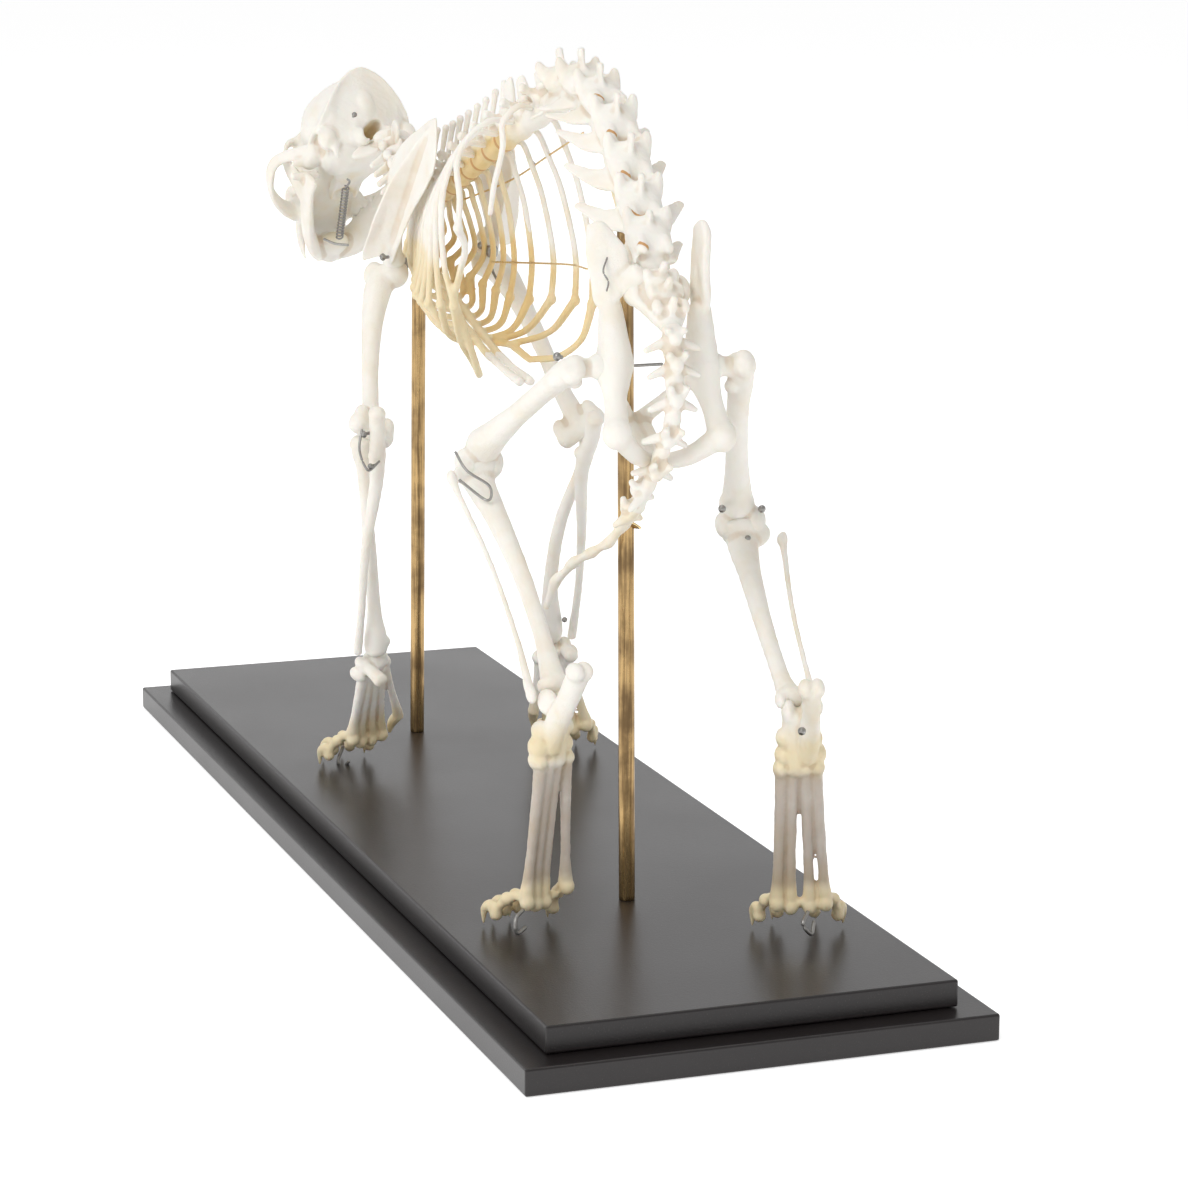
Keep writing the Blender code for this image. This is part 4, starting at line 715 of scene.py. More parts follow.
# Centre line of the vertebral bodies, from the atlas to the end of the sacrum
SPINE_LINE = (
    (177.0, -4.0, 289.0),
    (150.0, 0.5, 284.5),
    (124.0, 3.5, 278.0),
    (98.0, 6.0, 274.0),
    (64.6, 7.0, 279.0),
    (24.0, 7.5, 293.0),
    (-15.0, 6.0, 308.0),
    (-41.0, 3.0, 318.5),
    (-74.6, -2.0, 331.0),
    (-100.5, -2.5, 329.5),
    (-121.0, -2.0, 323.0),
    (-139.5, -0.5, 312.0),
    (-158.0, 1.0, 298.5),
    (-175.0, 3.5, 286.0),
    (-193.0, 6.0, 275.0),
    (-214.0, 7.0, 258.0),
)
NECK_X = (177.0, 164.0, 149.5, 138.5, 127.5, 116.5, 106.0)
CHEST_RADII = (4.6, 4.6, 4.6, 4.6, 4.5, 4.5, 4.5, 4.5, 4.7, 4.9, 5.1, 5.4, 5.6)
CHEST_X = (95.0, 85.5, 75.5, 64.6, 52.5, 40.5, 28.5, 16.0, 2.0, -12.0, -26.0, -41.0, -57.5)
LOIN_X = (-74.6, -91.5, -111.0, -130.5, -149.0, -167.0, -184.0)
TAIL_LINE = (
    (-214.6, 7.0, 257.2),
    (-216.4, 7.0, 249.0),
    (-218.4, 7.0, 238.0),
    (-218.0, 7.5, 224.0),
    (-210.5, 9.0, 210.0),
    (-202.5, 10.8, 197.0),
    (-196.0, 12.6, 187.6),
    (-186.0, 14.6, 179.2),
    (-175.5, 16.6, 170.6),
    (-161.0, 18.6, 163.8),
    (-147.0, 20.6, 157.5),
    (-131.5, 22.6, 147.0),
    (-123.0, 23.6, 135.0),
)

# Skull placement: nose down, turned a little to the cat's left
SKULL_ORIGIN = (182.5, 2.5, 297.5)
SKULL_YAW = 8.8
SKULL_PITCH = 34.0
SKULL_ROLL = -1.0
SKULL_SCALE = 1.03

for end, start in ((ELBOW_L, SHOULDER_L), (KNEE_L, HIP_L), (HOCK_L, KNEE_L)):
    print("bone length, mm:", round(math.dist(start, end), 1))

# %% [markdown]
# A bone is easiest to draw in its own axes. A frame stands at one joint, points along the bone to
# the next, and knows which way is its front and which its side. A point of the bone is then start +
# along a + side s + front f.

# %% A bone's own axes
class Frame:
    """Axes of a bone: along it, to its side and to its front, with points given in millimetres."""

    def __init__(self, start, end, front):
        self.start = Vector(start)
        reach = Vector(end) - self.start
        self.length = reach.length
        self.along = reach.normalized()
        self.side = self.along.cross(Vector(front)).normalized()
        self.front = self.side.cross(self.along).normalized()

    def at(self, along, side=0.0, front=0.0):
        """The point this far along, to the side and to the front."""
        return self.start + self.along * along + self.side * side + self.front * front

    def axes(self):
        """The rotation whose columns are along, side and front."""
        return Matrix((self.along, self.side, self.front)).transposed()


SPINE = line_through(SPINE_LINE, 121)


def spine_frame(x):
    """The frame of the vertebral column where it passes this x: along to the tail, front up."""
    order = np.argsort(SPINE[:, 0])
    track = SPINE[order]
    here = [np.interp(x, track[:, 0], track[:, i]) for i in range(3)]
    ahead = [np.interp(x - 2.0, track[:, 0], track[:, i]) for i in range(3)]
    return Frame(here, ahead, (0.0, 0.0, 1.0))


def lean(frame, degrees, height, side=0.0, start=0.0):
    """A point over the body of a vertebra: up from it, leaning to the tail by this angle."""
    angle = math.radians(degrees)
    return frame.at(start + height * math.sin(angle), side, height * math.cos(angle))

print("the chest bends by", round(SPINE[:, 2].max() - SPINE[:, 2].min(), 1), "mm in height")

# %% [markdown]
# A vertebra is a spool, the body, with an arch on top that once held the spinal cord, an upright
# spine and side processes. The first piece is the row of spools: one sweep whose radius swells at
# each disc and narrows between them.

# %% Vertebral bodies and arches
def bodies(stations, radii, ends=5.0):
    """The vertebral bodies of a run as one rod, narrower at each waist than at its discs."""
    path, widths = [], []
    edges = [stations[0] + ends]
    edges += [0.5 * (a + b) for a, b in zip(stations, stations[1:])]
    edges += [stations[-1] - ends]
    for i, edge in enumerate(edges):
        wide = radii[min(i, len(radii) - 1)]
        path.append(spine_frame(edge).start)
        widths.append(wide)
        if i < len(stations):
            path.append(spine_frame(stations[i]).start)
            widths.append(radii[i] * 0.82)
    return sweep(path, widths)


def arch(frame, width, height, length):
    """The neural arch: a rounded block on top of the body, wide enough for the cord."""
    return blob(frame.at(0.0, 0.0, height * 0.62), (length, width, height * 0.62), frame.axes())

print("vertebrae from the neck to the loin:", len(NECK_X) + len(CHEST_X) + len(LOIN_X))

# %% [markdown]
# The seven neck vertebrae are broad and low. The first, the atlas, is a ring with two wings and
# carries the skull. The second has a tall blade. The others have short, swept side processes.

# %% Neck
def cervical():
    """The seven neck vertebrae."""
    pieces = [bodies(NECK_X, (4.6, 4.4, 4.2, 4.2, 4.3, 4.4, 4.5), ends=3.5)]
    for i, x in enumerate(NECK_X):
        frame = spine_frame(x)
        pieces.append(arch(frame, 7.2 if i else 9.0, 7.4, 4.4 if i else 4.0))
        for side in (-1, 1):
            if i == 0:
                wing = [frame.at(-4, 5 * side, 1), frame.at(-3, 13 * side, 0), frame.at(3, 18.5 * side, -2)]
                wing += [frame.at(7, 18 * side, -3), frame.at(6, 8 * side, -1)]
                pieces.append(slab(wing, 2.6))
            else:
                root, tip = frame.at(-1, 4 * side, -1), frame.at(5, (11 + 0.4 * i) * side, -4)
                pieces.append(sweep([root, tip], (2.4, 1.5)))
                pieces.append(blob(frame.at(4.5, 6.4 * side, 5.5), (4.2, 2.2, 2.4), frame.axes()))
        if i == 1:
            crest = [frame.at(-12, 0, 10), frame.at(-4, 0, 15.5), frame.at(8, 0, 15), frame.at(7, 0, 6)]
            crest += [frame.at(-6, 0, 5)]
            pieces.append(slab(crest, 2.2))
        elif i > 1:
            tall = 9.5 + 1.6 * (i - 2)
            pieces.append(sweep([lean(frame, 10, 5), lean(frame, 0, tall + 2)], (1.8, 0.9)))
    return pieces

print("surfaces of the neck:", len(cervical()))

# %% [markdown]
# The chest vertebrae carry the ribs. Their spines are thin rods that lean back, and shorten down
# the row until one stands upright. Each is a flattened sweep with a small knob at its tip.

# %% Chest vertebrae
def thoracic():
    """The thirteen chest vertebrae."""
    pieces = [bodies(CHEST_X, CHEST_RADII, ends=4.6)]
    heights = (30, 34, 36, 36, 35, 34, 33, 31, 28.5, 26, 22, 19, 17)
    slants = (22, 32, 40, 44, 46, 48, 48, 46, 42, 34, 12, -4, -10)
    for i, x in enumerate(CHEST_X):
        frame = spine_frame(x)
        pieces.append(arch(frame, 6.4, 7.0, 4.6))
        tip = lean(frame, slants[i], heights[i])
        if i < 10:
            spine = [lean(frame, slants[i], 6), lean(frame, slants[i], 0.6 * heights[i]), tip]
            pieces.append(sweep(spine, [(1.6, 3.2), (1.0, 2.2), (1.3, 1.9)], up=frame.along))
            pieces.append(blob(tip, (1.9, 1.7, 1.9), None))
        else:
            top = [lean(frame, slants[i], heights[i], start=step) for step in (-3, 3.5)]
            foot = [frame.at(5, 0, 6), frame.at(-4.5, 0, 6)]
            pieces.append(slab([*top, *foot], 2.4))
        for side in (-1, 1):
            root, end = frame.at(-1, 4 * side, 6.2), frame.at(-0.5, 10.2 * side, 8.8)
            pieces.append(sweep([root, root.lerp(end, 0.6), end], [2.3, 1.7, 2.2]))
            pieces.append(blob(frame.at(4.5, 3.6 * side, 8.0), (3.6, 2.2, 1.8), frame.axes()))
    return pieces

print("surfaces of the chest vertebrae:", len(thoracic()))

# %% [markdown]
# Between the roofs of two loin vertebrae there is a narrow opening, and light glowing through the
# thin bone gives it an amber rim. It is a smile seen from behind. A bundle of thin rods along that
# line is carved out of the bone, and the same lines are painted amber as that glow.

# %% Loin vertebrae
def loin_gap(frame, middle, wide, height):
    """The line of the opening behind an arch: a U that opens to the head, along = 10.6 - 2.2 t^2."""
    steps = np.linspace(-1.0, 1.0, 9)
    left = 1.0 if frame.side.y > 0 else -1.0
    sides = left * (middle + wide * steps)
    return [frame.at(10.6 - 2.2 * t * t, side, height - 0.035 * side * side) for t, side in zip(steps, sides)]


def loin_lines():
    """The openings behind the loin vertebrae, at four heights each."""
    lines = []
    for x in LOIN_X:
        frame = spine_frame(x)
        for height in (11.2, 12.2, 13.2, 14.2):
            lines.append(loin_gap(frame, 3.0, 3.0, height))
    return lines


def lumbar():
    """The seven loin vertebrae: roofs, upright spines and broad side blades that sweep forward."""
    pieces = [bodies(LOIN_X, (5.8, 6.0, 6.2, 6.4, 6.6, 6.8, 6.8), ends=8.4)]
    reaches = (13.0, 18.0, 22.0, 25.0, 27.0, 28.0, 23.0)
    for i, x in enumerate(LOIN_X):
        frame = spine_frame(x)
        pieces.append(blob(frame.at(-0.5, 0, 6.6), (10.6, 8.4, 5.6), frame.axes(), 28, 0.85))
        pieces.append(blob(frame.at(-6.0, 0, 8.4), (4.6, 9.0, 4.6), frame.axes()))
        height = 19.5 - (3.5 if i == 6 else 0.4 * i)
        spine = [
            frame.at(1.0, 0, 7), lean(frame, -14, 0.72 * height, start=-1),
            lean(frame, -16, height, start=-1),
        ]
        pieces.append(sweep(spine, [(1.5, 5.2), (1.0, 3.2), (1.5, 2.6)], up=frame.along))
        for side in (-1, 1):
            reach = reaches[i]
            rear = [frame.at(6, 4 * side, -1), frame.at(1, (4 + 0.3 * reach) * side, -3.5)]
            rear += [frame.at(-7, 0.62 * reach * side, -5.5), frame.at(-16, 0.78 * reach * side, -7.5)]
            fore = [frame.at(-8, 4 * side, -0.5), frame.at(-9, (4 + 0.2 * reach) * side, -2.5)]
            fore += [frame.at(-13, 0.46 * reach * side, -5), frame.at(-19, 0.68 * reach * side, -7.5)]
            pieces.append(ribbon(rear, fore, (3.8, 2.6, 1.9, 1.5)))
            horn = [
                frame.at(-5, 6.4 * side, 8), frame.at(-9, 7.4 * side, 12), frame.at(-10.5, 7.6 * side, 14),
            ]
            pieces.append(sweep(horn, [2.8, 2.3, 1.5]))
            pieces.append(sweep([frame.at(4, 4.2 * side, 9.5), frame.at(10.5, 4.8 * side, 10.5)], [2.8, 2.2]))
            pieces.append(sweep([frame.at(5, 6.0 * side, 5), frame.at(12, 7.6 * side, 5.5)], [1.8, 0.9]))
    return pieces


def loin_gaps():
    """The openings between the roofs as thin rods for carving; their lines also carry the painted glow."""
    return [sweep(line, [0.55] * 9, sides=10) for line in loin_lines()]

print("lines of the loin openings:", len(loin_lines()))

# %% [markdown]
# The sacrum is three vertebrae grown into one. Its wings reach to the hip bones, so it is a short
# sweep with a thick plate on each side and three low spines.

# %% Sacrum and tail
def sacrum():
    """The three fused sacral vertebrae with their wings."""
    start, end = Vector((-196.5, 6.2, 271.8)), Vector((-213.2, 7.0, 258.8))
    frame = Frame(start, end, (0.0, 0.0, 1.0))
    pieces = [sweep([frame.at(0), frame.at(12), frame.at(frame.length)], (6.4, 5.2, 4.6))]
    pieces.append(blob(frame.at(8, 0, 4), (10, 7, 5), frame.axes()))
    for step, tall in ((3, 13), (11, 12.5), (19, 11)):
        pieces.append(sweep([frame.at(step, 0, 5), frame.at(step, 0, tall)], (2.2, 1.4)))
    for side in (-1, 1):
        wing = [frame.at(-2, 4 * side, -1), frame.at(-1, 10.5 * side, -1), frame.at(6, 11.5 * side, -2)]
        wing += [frame.at(13, 8.5 * side, -1), frame.at(20, 6 * side, 0), frame.at(22, 3 * side, 0)]
        pieces.append(slab(wing, 4.6))
        pieces.append(blob(frame.at(2, 9.0 * side, -2), (6.5, 4.0, 5.0), frame.axes()))
        for step in (2, 10, 18):
            pieces.append(blob(frame.at(step, 5.2 * side, 5.6), (3.2, 2.0, 2.8), frame.axes()))
    return pieces


def caudal(first, last):
    """A run of tail vertebrae between two joints of the tail line."""
    joints = [Vector(p) for p in TAIL_LINE[first : last + 1]]
    path, widths, pieces = [], [], []
    for i, (a, b) in enumerate(zip(joints, joints[1:])):
        number = first + i
        wide = max(2.3, 4.0 - 0.22 * number)
        path += [a, a.lerp(b, 0.5)]
        widths += [wide, wide * 0.72]
        frame = Frame(a, b, (-1.0, 0.0, 0.3) if number < 5 else (-0.4, 0.0, 1.0))
        half = 0.5 * frame.length
        if number < 7:
            reach = 10.5 - 0.7 * number
            for side in (-1, 1):
                wing = [frame.at(half, 1.5 * side, 0), frame.at(half + 3.5, reach * side, -0.5)]
                pieces.append(sweep(wing, (2.2, 1.2)))
            pieces.append(blob(frame.at(half - 1, 0, 3.2), (3.6, 2.8, 3.0), frame.axes()))
            for side in (-1, 1):
                horn = [frame.at(half - 3, 2.4 * side, 3.4), frame.at(1.2, 3.2 * side, 5.6)]
                pieces.append(sweep(horn, [1.8, 1.3]))
    path.append(joints[-1])
    widths.append(widths[-2] if last < len(TAIL_LINE) - 1 else 1.4)
    path[0] = path[0] + (path[1] - path[0]).normalized() * (0.0 if first == 0 else GAP)
    return [sweep(path, widths), *pieces]


def skull_point(point):
    """A point given along the skull: forward of the neck joint, to the left and up."""
    turn = Matrix.Rotation(math.radians(SKULL_YAW), 3, "Z")
    turn = turn @ Matrix.Rotation(math.radians(SKULL_PITCH), 3, "Y")
    turn = turn @ Matrix.Rotation(math.radians(SKULL_ROLL), 3, "X")
    return Vector(SKULL_ORIGIN) + turn @ (Vector(point) * SKULL_SCALE)


def skull_axes():
    """The rotation of the skull."""
    origin = skull_point((0, 0, 0))
    columns = [(skull_point(p) - origin).normalized() for p in ((1, 0, 0), (0, 1, 0), (0, 0, 1))]
    return Matrix(columns).transposed()

print("tail length, mm:", round(sum(map(math.dist, TAIL_LINE, TAIL_LINE[1:])), 1))

# %% [markdown]
# The skull is the hardest piece. The real one is a thin shell: an egg for the brain with a sharp
# crest at the back, a waist behind the eyes and a short face. Eggs alone would miss the flat back and
# the waist, so the shell is a loft: rings with named points on one half, mirrored to the other, and
# smooth lines both round each ring and from ring to ring. Everything is in the skull's own axes:
# forward from the neck joint, to the left, and up.

# %% Skull shell
# Each ring: points from the top of the middle line down the left side to the bottom
SHELL_RINGS = (
    (
        (0.6, 0, 16.5), (0.8, 3, 15.5), (1.0, 4.5, 13), (1.2, 4.5, 10), (1.2, 3.5, 7.5), (1.2, 2, 6),
        (1.2, 0, 5.5),
    ),
    ((-1.2, 0, 24.5), (0.6, 7, 21.0), (2.8, 12, 15), (4, 13.5, 9), (4.5, 12, 3), (3.5, 8, -3), (2, 0, -5)),
    (
        (-2.4, 0, 29.2), (-0.8, 8.2, 26.2), (1.0, 13.8, 20.6), (4, 18.2, 14.0), (8, 21.4, 8), (9, 18, -1),
        (7, 0, -6),
    ),
    ((2, 0, 29.6), (3.5, 9, 27.2), (6, 15.4, 22), (9, 19.6, 14.8), (12, 21.3, 8), (13, 17, -1), (12, 0, -6)),
    (
        (14, 0, 32.8), (14.5, 10, 30.4), (15.5, 17, 24.4), (17, 21.0, 16), (18, 21.0, 8), (18, 15, -2),
        (18, 0, -6.5),
    ),
    (
        (26, 0, 34.6), (26, 10.4, 32.2), (26, 17.8, 26), (26, 21.2, 17), (26, 20.6, 8), (26, 14, -2),
        (26, 0, -6.5),
    ),
    ((36, 0, 34), (36, 9.6, 31.6), (36, 15.8, 26), (36, 18.4, 17.5), (36, 17, 8), (36, 11, -1), (36, 0, -5)),
    (
        (44, 0, 31.6), (44, 8.4, 29.4), (44, 12.8, 24.5), (44, 13.8, 17), (44, 12, 8), (44, 8.5, 0),
        (44, 0, -4),
    ),
    ((52, 0, 29.2), (52, 9.4, 27.6), (52, 14.8, 24), (52, 13.5, 17), (52, 9.5, 8), (52, 8, 0), (52, 0, -5)),
    ((60, 0, 26.2), (60, 8, 24.8), (60, 13, 20.6), (60, 11.8, 13), (60, 8.5, 6), (60, 10, -2), (60, 0, -6)),
    (
        (68, 0, 21.5), (68, 6, 20), (68, 10.5, 15), (68, 12.5, 7.5), (68, 13.5, 1), (68, 13.5, -6.5),
        (68, 0, -6.5),
    ),
    (
        (76, 0, 15), (76, 5, 13.6), (76, 8.6, 8.5), (76, 10.4, 2), (76, 11.2, -3.5), (76, 11, -8.5),
        (76, 0, -7),
    ),
    ((83, 0, 8), (83, 4, 7), (83, 6.6, 3), (83, 8, -1.5), (83, 8.8, -5), (83, 8, -9), (83, 0, -7.8)),
    ((86.8, 0, -1), (86.8, 3, -1.2), (87, 5, -3), (87.2, 6, -5), (87.2, 6, -7), (87, 5, -9), (87, 0, -8.8)),
)


def ring_through(points, steps):
    """A smooth closed line: the points are repeated past both ends, and the repeats are cut off."""
    wrapped = np.concatenate([points[-1:], points, points[:2]])
    return line_through(wrapped, (len(points) + 2) * steps + 1)[steps : (len(points) + 1) * steps]


def loft(rings, count=90, steps=5):
    """A closed surface through rings of named points, smooth along and around."""
    along = line_through(rings, count)
    return closed_grid(ring_through(along.swapaxes(0, 1), steps).swapaxes(0, 1))


def in_skull(points):
    """Points given in the skull's axes, turned and moved to the skull's place."""
    return np.asarray(points, float) * SKULL_SCALE @ np.array(skull_axes()).T + np.array(SKULL_ORIGIN)


def skull_shell():
    """The loft of brain case and face, with the right half mirrored from the left."""
    half = np.array(SHELL_RINGS, float)
    other = half[:, -2:0:-1] * (1, -1, 1)
    return loft(in_skull(np.concatenate([half, other], 1))[:, ::-1])


def skull_rods(table):
    """Rods of the skull: each row is a list of points and the radii along them, in skull axes."""
    return [sweep(in_skull(points), radii, up=skull_axes().col[2]) for points, radii in table]


def skull_lump(centre, size, square=1.0, tilt=0.0):
    """An egg in the skull's axes, turned about the forward axis by the tilt."""
    turned = skull_axes() @ Matrix.Rotation(math.radians(tilt), 3, "X")
    return blob(in_skull(centre), [s * SKULL_SCALE for s in size], turned, 32, square)

print("rings of the skull shell:", len(SHELL_RINGS))

# %% [markdown]
# Ridges, arches and teeth are rods laid on that shell. The cheek arch is a band: it stands off the
# side of the skull, so it gets an oval section that is taller than it is thick.

# %% Skull details
def skull():
    """Shell, crest, ear capsules, neck joint, cheek arches, palate and upper teeth."""
    pieces = [
        skull_shell(),
        skull_lump((25, 0, -5.0), (20.0, 10.0, 3.6)),
        skull_lump((40, 0, -4.0), (14.0, 6.5, 3.8)),
        skull_lump((2.4, 0, 14.5), (3.4, 4.6, 9.0)),
    ]
    crest = [
        (14, -22.6, 5), (8, -21.4, 8), (4, -18.4, 14), (1.0, -13.8, 20.8), (-1, -8.0, 26.4), (-2.4, 0, 29.4),
    ]
    crest += [(-1, 8.0, 26.4), (1.0, 13.8, 20.8), (4, 18.4, 14), (8, 21.4, 9), (14, 23.4, 7), (22, 22.6, 6)]
    table = [(crest, [1.2, 1.2, 1.1, 1.1, 1.1, 1.3, 1.1, 1.1, 1.1, 1.2, 1.4, 1.2])]
    table.append(([(-2, 0, 29), (8, 0, 31.8), (20, 0, 34.0), (32, 0, 34.0)], [1.2, 0.9, 0.7, 0.5]))
    for side in (-1, 1):
        pieces += [
            skull_lump((20.0, 10.4 * side, -3.2), (13.0, 8.0, 5.6)),
            skull_lump((2.4, 6.6 * side, -2.6), (4.4, 3.6, 4.8), tilt=-25 * side),
            skull_lump((9, 20.0 * side, 1.0), (5.0, 4.2, 5.5)),
            skull_lump((29, 20.0 * side, 2.0), (7.5, 5.0, 4.0)),
            skull_lump((66, 14.0 * side, -3.5), (8.0, 4.0, 6.5)),
        ]
        cheek = [(22, 20.5, 4), (30, 24.5, 6), (37, 29, 8), (44, 32.3, 8), (50, 33.2, 3.5), (56, 30.6, -1.5)]
        cheek += [(62, 24.5, -4.5), (68, 17.0, -4.5)]
        thick = [
            (2.4, 2.6), (2.0, 3.0), (1.7, 3.2), (1.6, 3.4), (1.6, 3.8), (1.8, 4.2), (2.4, 4.6), (3.0, 5.0),
        ]
        table.append(([(x, y * side, z) for x, y, z in cheek], thick))
        table.append(([(27, 15 * side, 0.5), (30, 21 * side, 1.0), (31.5, 28 * side, 1.5)],
                      [(3, 3), (3, 2), (2.6, 1.6)]))
        table.append(([(52, 32.2 * side, 4), (49.5, 30 * side, 10), (48.5, 28 * side, 13.5)],
                      [2.2, 1.4, 0.6]))
        table.append(([(54, 11 * side, 24), (50, 17.5 * side, 22), (47.5, 22 * side, 18),
                       (47, 24 * side, 14)], [3, 2, 1.3, 0.6]))
        table.append(([(62, 11 * side, 18), (69, 15.0 * side, 9), (71, 16.5 * side, 1)], [2.2, 1.8, 2.0]))
        table.append(([(8, 17.6 * side, -1), (7, 18.2 * side, -5), (8.5, 18.0 * side, -9)], [2.4, 1.9, 1.0]))
        table.append(([(36, 6 * side, -4), (46, 6.2 * side, -6.5), (49, 6 * side, -8.5)],
                      [(1, 2.8), (0.9, 2.6), (0.8, 1.4)]))
        table.append(([(76, 9.4 * side, -3), (79.5, 10.4 * side, -10)], [3.4, 2.6]))
    return pieces + skull_rods(table) + upper_teeth()


def upper_teeth():
    """Canines, cheek teeth and a row of six small front teeth."""
    table = []
    for side in (-1, 1):
        canine = [
            (79, 10.2 * side, -8), (80.6, 10.8 * side, -13), (81.8, 10.9 * side, -18.5),
            (81.4, 10.6 * side, -24.5),
        ]
        table.append((canine, [2.4, 2.0, 1.3, 0.3]))
        for x, y, drop, wide in (
            (69, 13.6, 3.4, 1.6), (63.5, 14.8, 6.0, 2.2), (58.5, 16.0, 7.4, 2.6), (54, 16.8, 5.0, 2.2),
        ):
            table.append(([(x, y * side, -7), (x + 0.2, y * side, -8 - drop)], [(wide, 1.6), (0.5, 0.5)]))
        for y in (1.2, 3.3, 5.4):
            table.append(([(87.4 - 0.25 * y, y * side, -7), (88 - 0.3 * y, y * side, -12)],
                          [(1.0, 1.3), (0.7, 0.5)]))
    return skull_rods(table)


def skull_cuts():
    """Foramen magnum, ear canals, nose, eye sockets' depth and the rear opening of the nose."""
    cuts = [
        skull_lump((0, 0.8, 0.4), (12.0, 7.4, 3.4), tilt=-38),
        skull_lump((87.5, 0, 2.5), (9.0, 4.6, 5.6)),
        skull_lump((50, 0, -6.6), (7.0, 4.2, 3.6)),
        skull_lump((44, 0, -9.4), (7.0, 4.6, 3.2)),
    ]
    for side in (-1, 1):
        cuts += [
            skull_lump((62.5, 17.5 * side, 10.0), (8.0, 8.5, 9.0)),
            skull_lump((16, 22.0 * side, -2.0), (2.6, 5.0, 2.4)),
        ]
    return cuts

print("surfaces of the skull:", len(skull()))

# %% [markdown]
# The lower jaw is two curved blades that meet at the chin. At the rear each blade rises to a hook
# that passes inside the cheek arch, with the joint's roller across its root.

# %% Lower jaw
def mandible():
    """Two blades with their hooks, rollers and teeth, joined at the chin."""
    pieces = [
        skull_lump((77, 0, -19.5), (6.5, 6.4, 7.4)),
        skull_lump((72, 0, -20.5), (8.0, 7.4, 5.0)),
    ]
    table = []
    for side in (-1, 1):
        lower = [
            (25, 24.5, -12), (34, 23.8, -17.5), (46, 21, -22.5), (58, 17, -25.5), (70, 11, -27), (80, 4, -25),
        ]
        upper = [
            (30, 24, -5), (38, 23, -5.5), (47, 20.5, -6.5), (58, 16.4, -8.5), (70, 11.5, -11), (81, 5, -13.5),
        ]
        edges = [in_skull([(x, y * side, z) for x, y, z in edge]) for edge in (lower, upper)]
        pieces.append(ribbon(*edges, (3.2, 3.8, 4.4, 5.2, 6.4, 6.0)))
        rear = [(32.5, 24.2, -12), (33.5, 25.0, -4), (37, 26, 4), (42.5, 25.8, 13.5)]
        fore = [(47, 21.5, -13), (48, 22.8, -5), (49.5, 24.2, 5), (48.5, 25.2, 13.5)]
        edges = [in_skull([(x, y * side, z) for x, y, z in edge]) for edge in (rear, fore)]
        pieces.append(ribbon(*edges, (3.0, 2.4, 1.9, 1.4)))
        table.append(([(33, 18 * side, -4.4), (32.5, 24 * side, -4.8), (32.5, 30 * side, -4.6)],
                      [2.0, 2.4, 1.8]))
        table.append(([(32, 24 * side, -13), (24.5, 24.5 * side, -13.6)], [(1.4, 2.8), (1.1, 1.3)]))
        table.append(([(80, 5.0 * side, -17), (83.4, 6.4 * side, -12.5), (84.4, 7.2 * side, -6.5)],
                      [2.4, 1.8, 0.4]))
        for x, y, rise, wide in ((67, 12.4, 4.0, 1.8), (61.5, 14.6, 5.0, 2.2), (55, 17.0, 5.4, 2.6)):
            table.append(([(x, y * side, -13), (x + 0.4, (y - 0.4) * side, -10.5 + rise)],
                          [(wide, 1.2), (0.5, 0.4)]))
    return pieces + skull_rods(table)


# Ribs from the first to the thirteenth: widest half width, half width and height of the lower end
# of the bone, and where along the body that end is

print("surfaces of the jaw:", len(mandible()))

# %% [markdown]
# Each rib hangs from the spine, bends out and down as a flat band, and ends in a rod of cartilage
# that turns forward to the breastbone. The photograph shows the left side crowded and the right
# side wide open, so both sides have their own table of widths. A rib is one sweep through six
# points, with a bulb where bone meets cartilage.

# %% Ribs
RIB_WIDTH_LEFT = (7.0, 8.5, 10.0, 11.5, 13.0, 15.0, 17.0, 20.0, 24.0, 28.0, 32.0, 33.0, 25.0)
RIB_WIDTH_RIGHT = (9.5, 12.0, 14.5, 16.0, 17.5, 18.5, 19.5, 20.0, 22.0, 24.5, 26.5, 26.5, 25.0)
RIB_END_WIDTH = (6.5, 7.5, 8.5, 10.0, 12.5, 15.5, 18.0, 20.0, 22.5, 24.5, 26.5, 27.0, 26.5)
RIB_END_Z = (254.0, 250.0, 247.0, 244.5, 242.0, 240.0, 238.5, 237.5, 238.5, 241.0, 243.0, 243.0, 284.0)
RIB_END_X = (97.0, 89.5, 81.0, 72.0, 63.0, 54.0, 43.0, 30.0, 13.0, -8.0, -29.0, -43.0, -63.0)
LAST_RIB_RIGHT = (-88.0, -28.0, 257.0)
SHORT_RIB_LEFT = (-50.0, 36.3, 277.4)
# How far out a rib is at four places down its bend, as shares of its widest half width
RIB_SHARES_LEFT = (0.44, 0.80, 1.0, 0.98)
RIB_SHARES_RIGHT = (0.24, 0.48, 0.76, 0.98)
STERNUM_LINE = (
    (98.0, 8.0, 246.0),
    (76.0, 8.0, 242.0),
    (54.0, 7.8, 236.5),
    (34.0, 7.4, 229.5),
    (17.0, 7.0, 224.0),
    (-4.0, 6.6, 218.5),
    (-24.0, 6.3, 215.0),
    (-45.0, 6.0, 212.5),
)
STERNUM_SHARES = (0.0, 0.12, 0.23, 0.32, 0.39, 0.45, 0.51, 0.56, 0.61)


ARCH_LOW = Vector((-6.0, 13.2, 210.5))


def sternum_point(share):
    """A point this share of the way along the breastbone, from its front end."""
    line = np.array(STERNUM_LINE)
    place = share * (len(line) - 1)
    return Vector([float(np.interp(place, range(len(line)), line[:, i])) for i in range(3)])


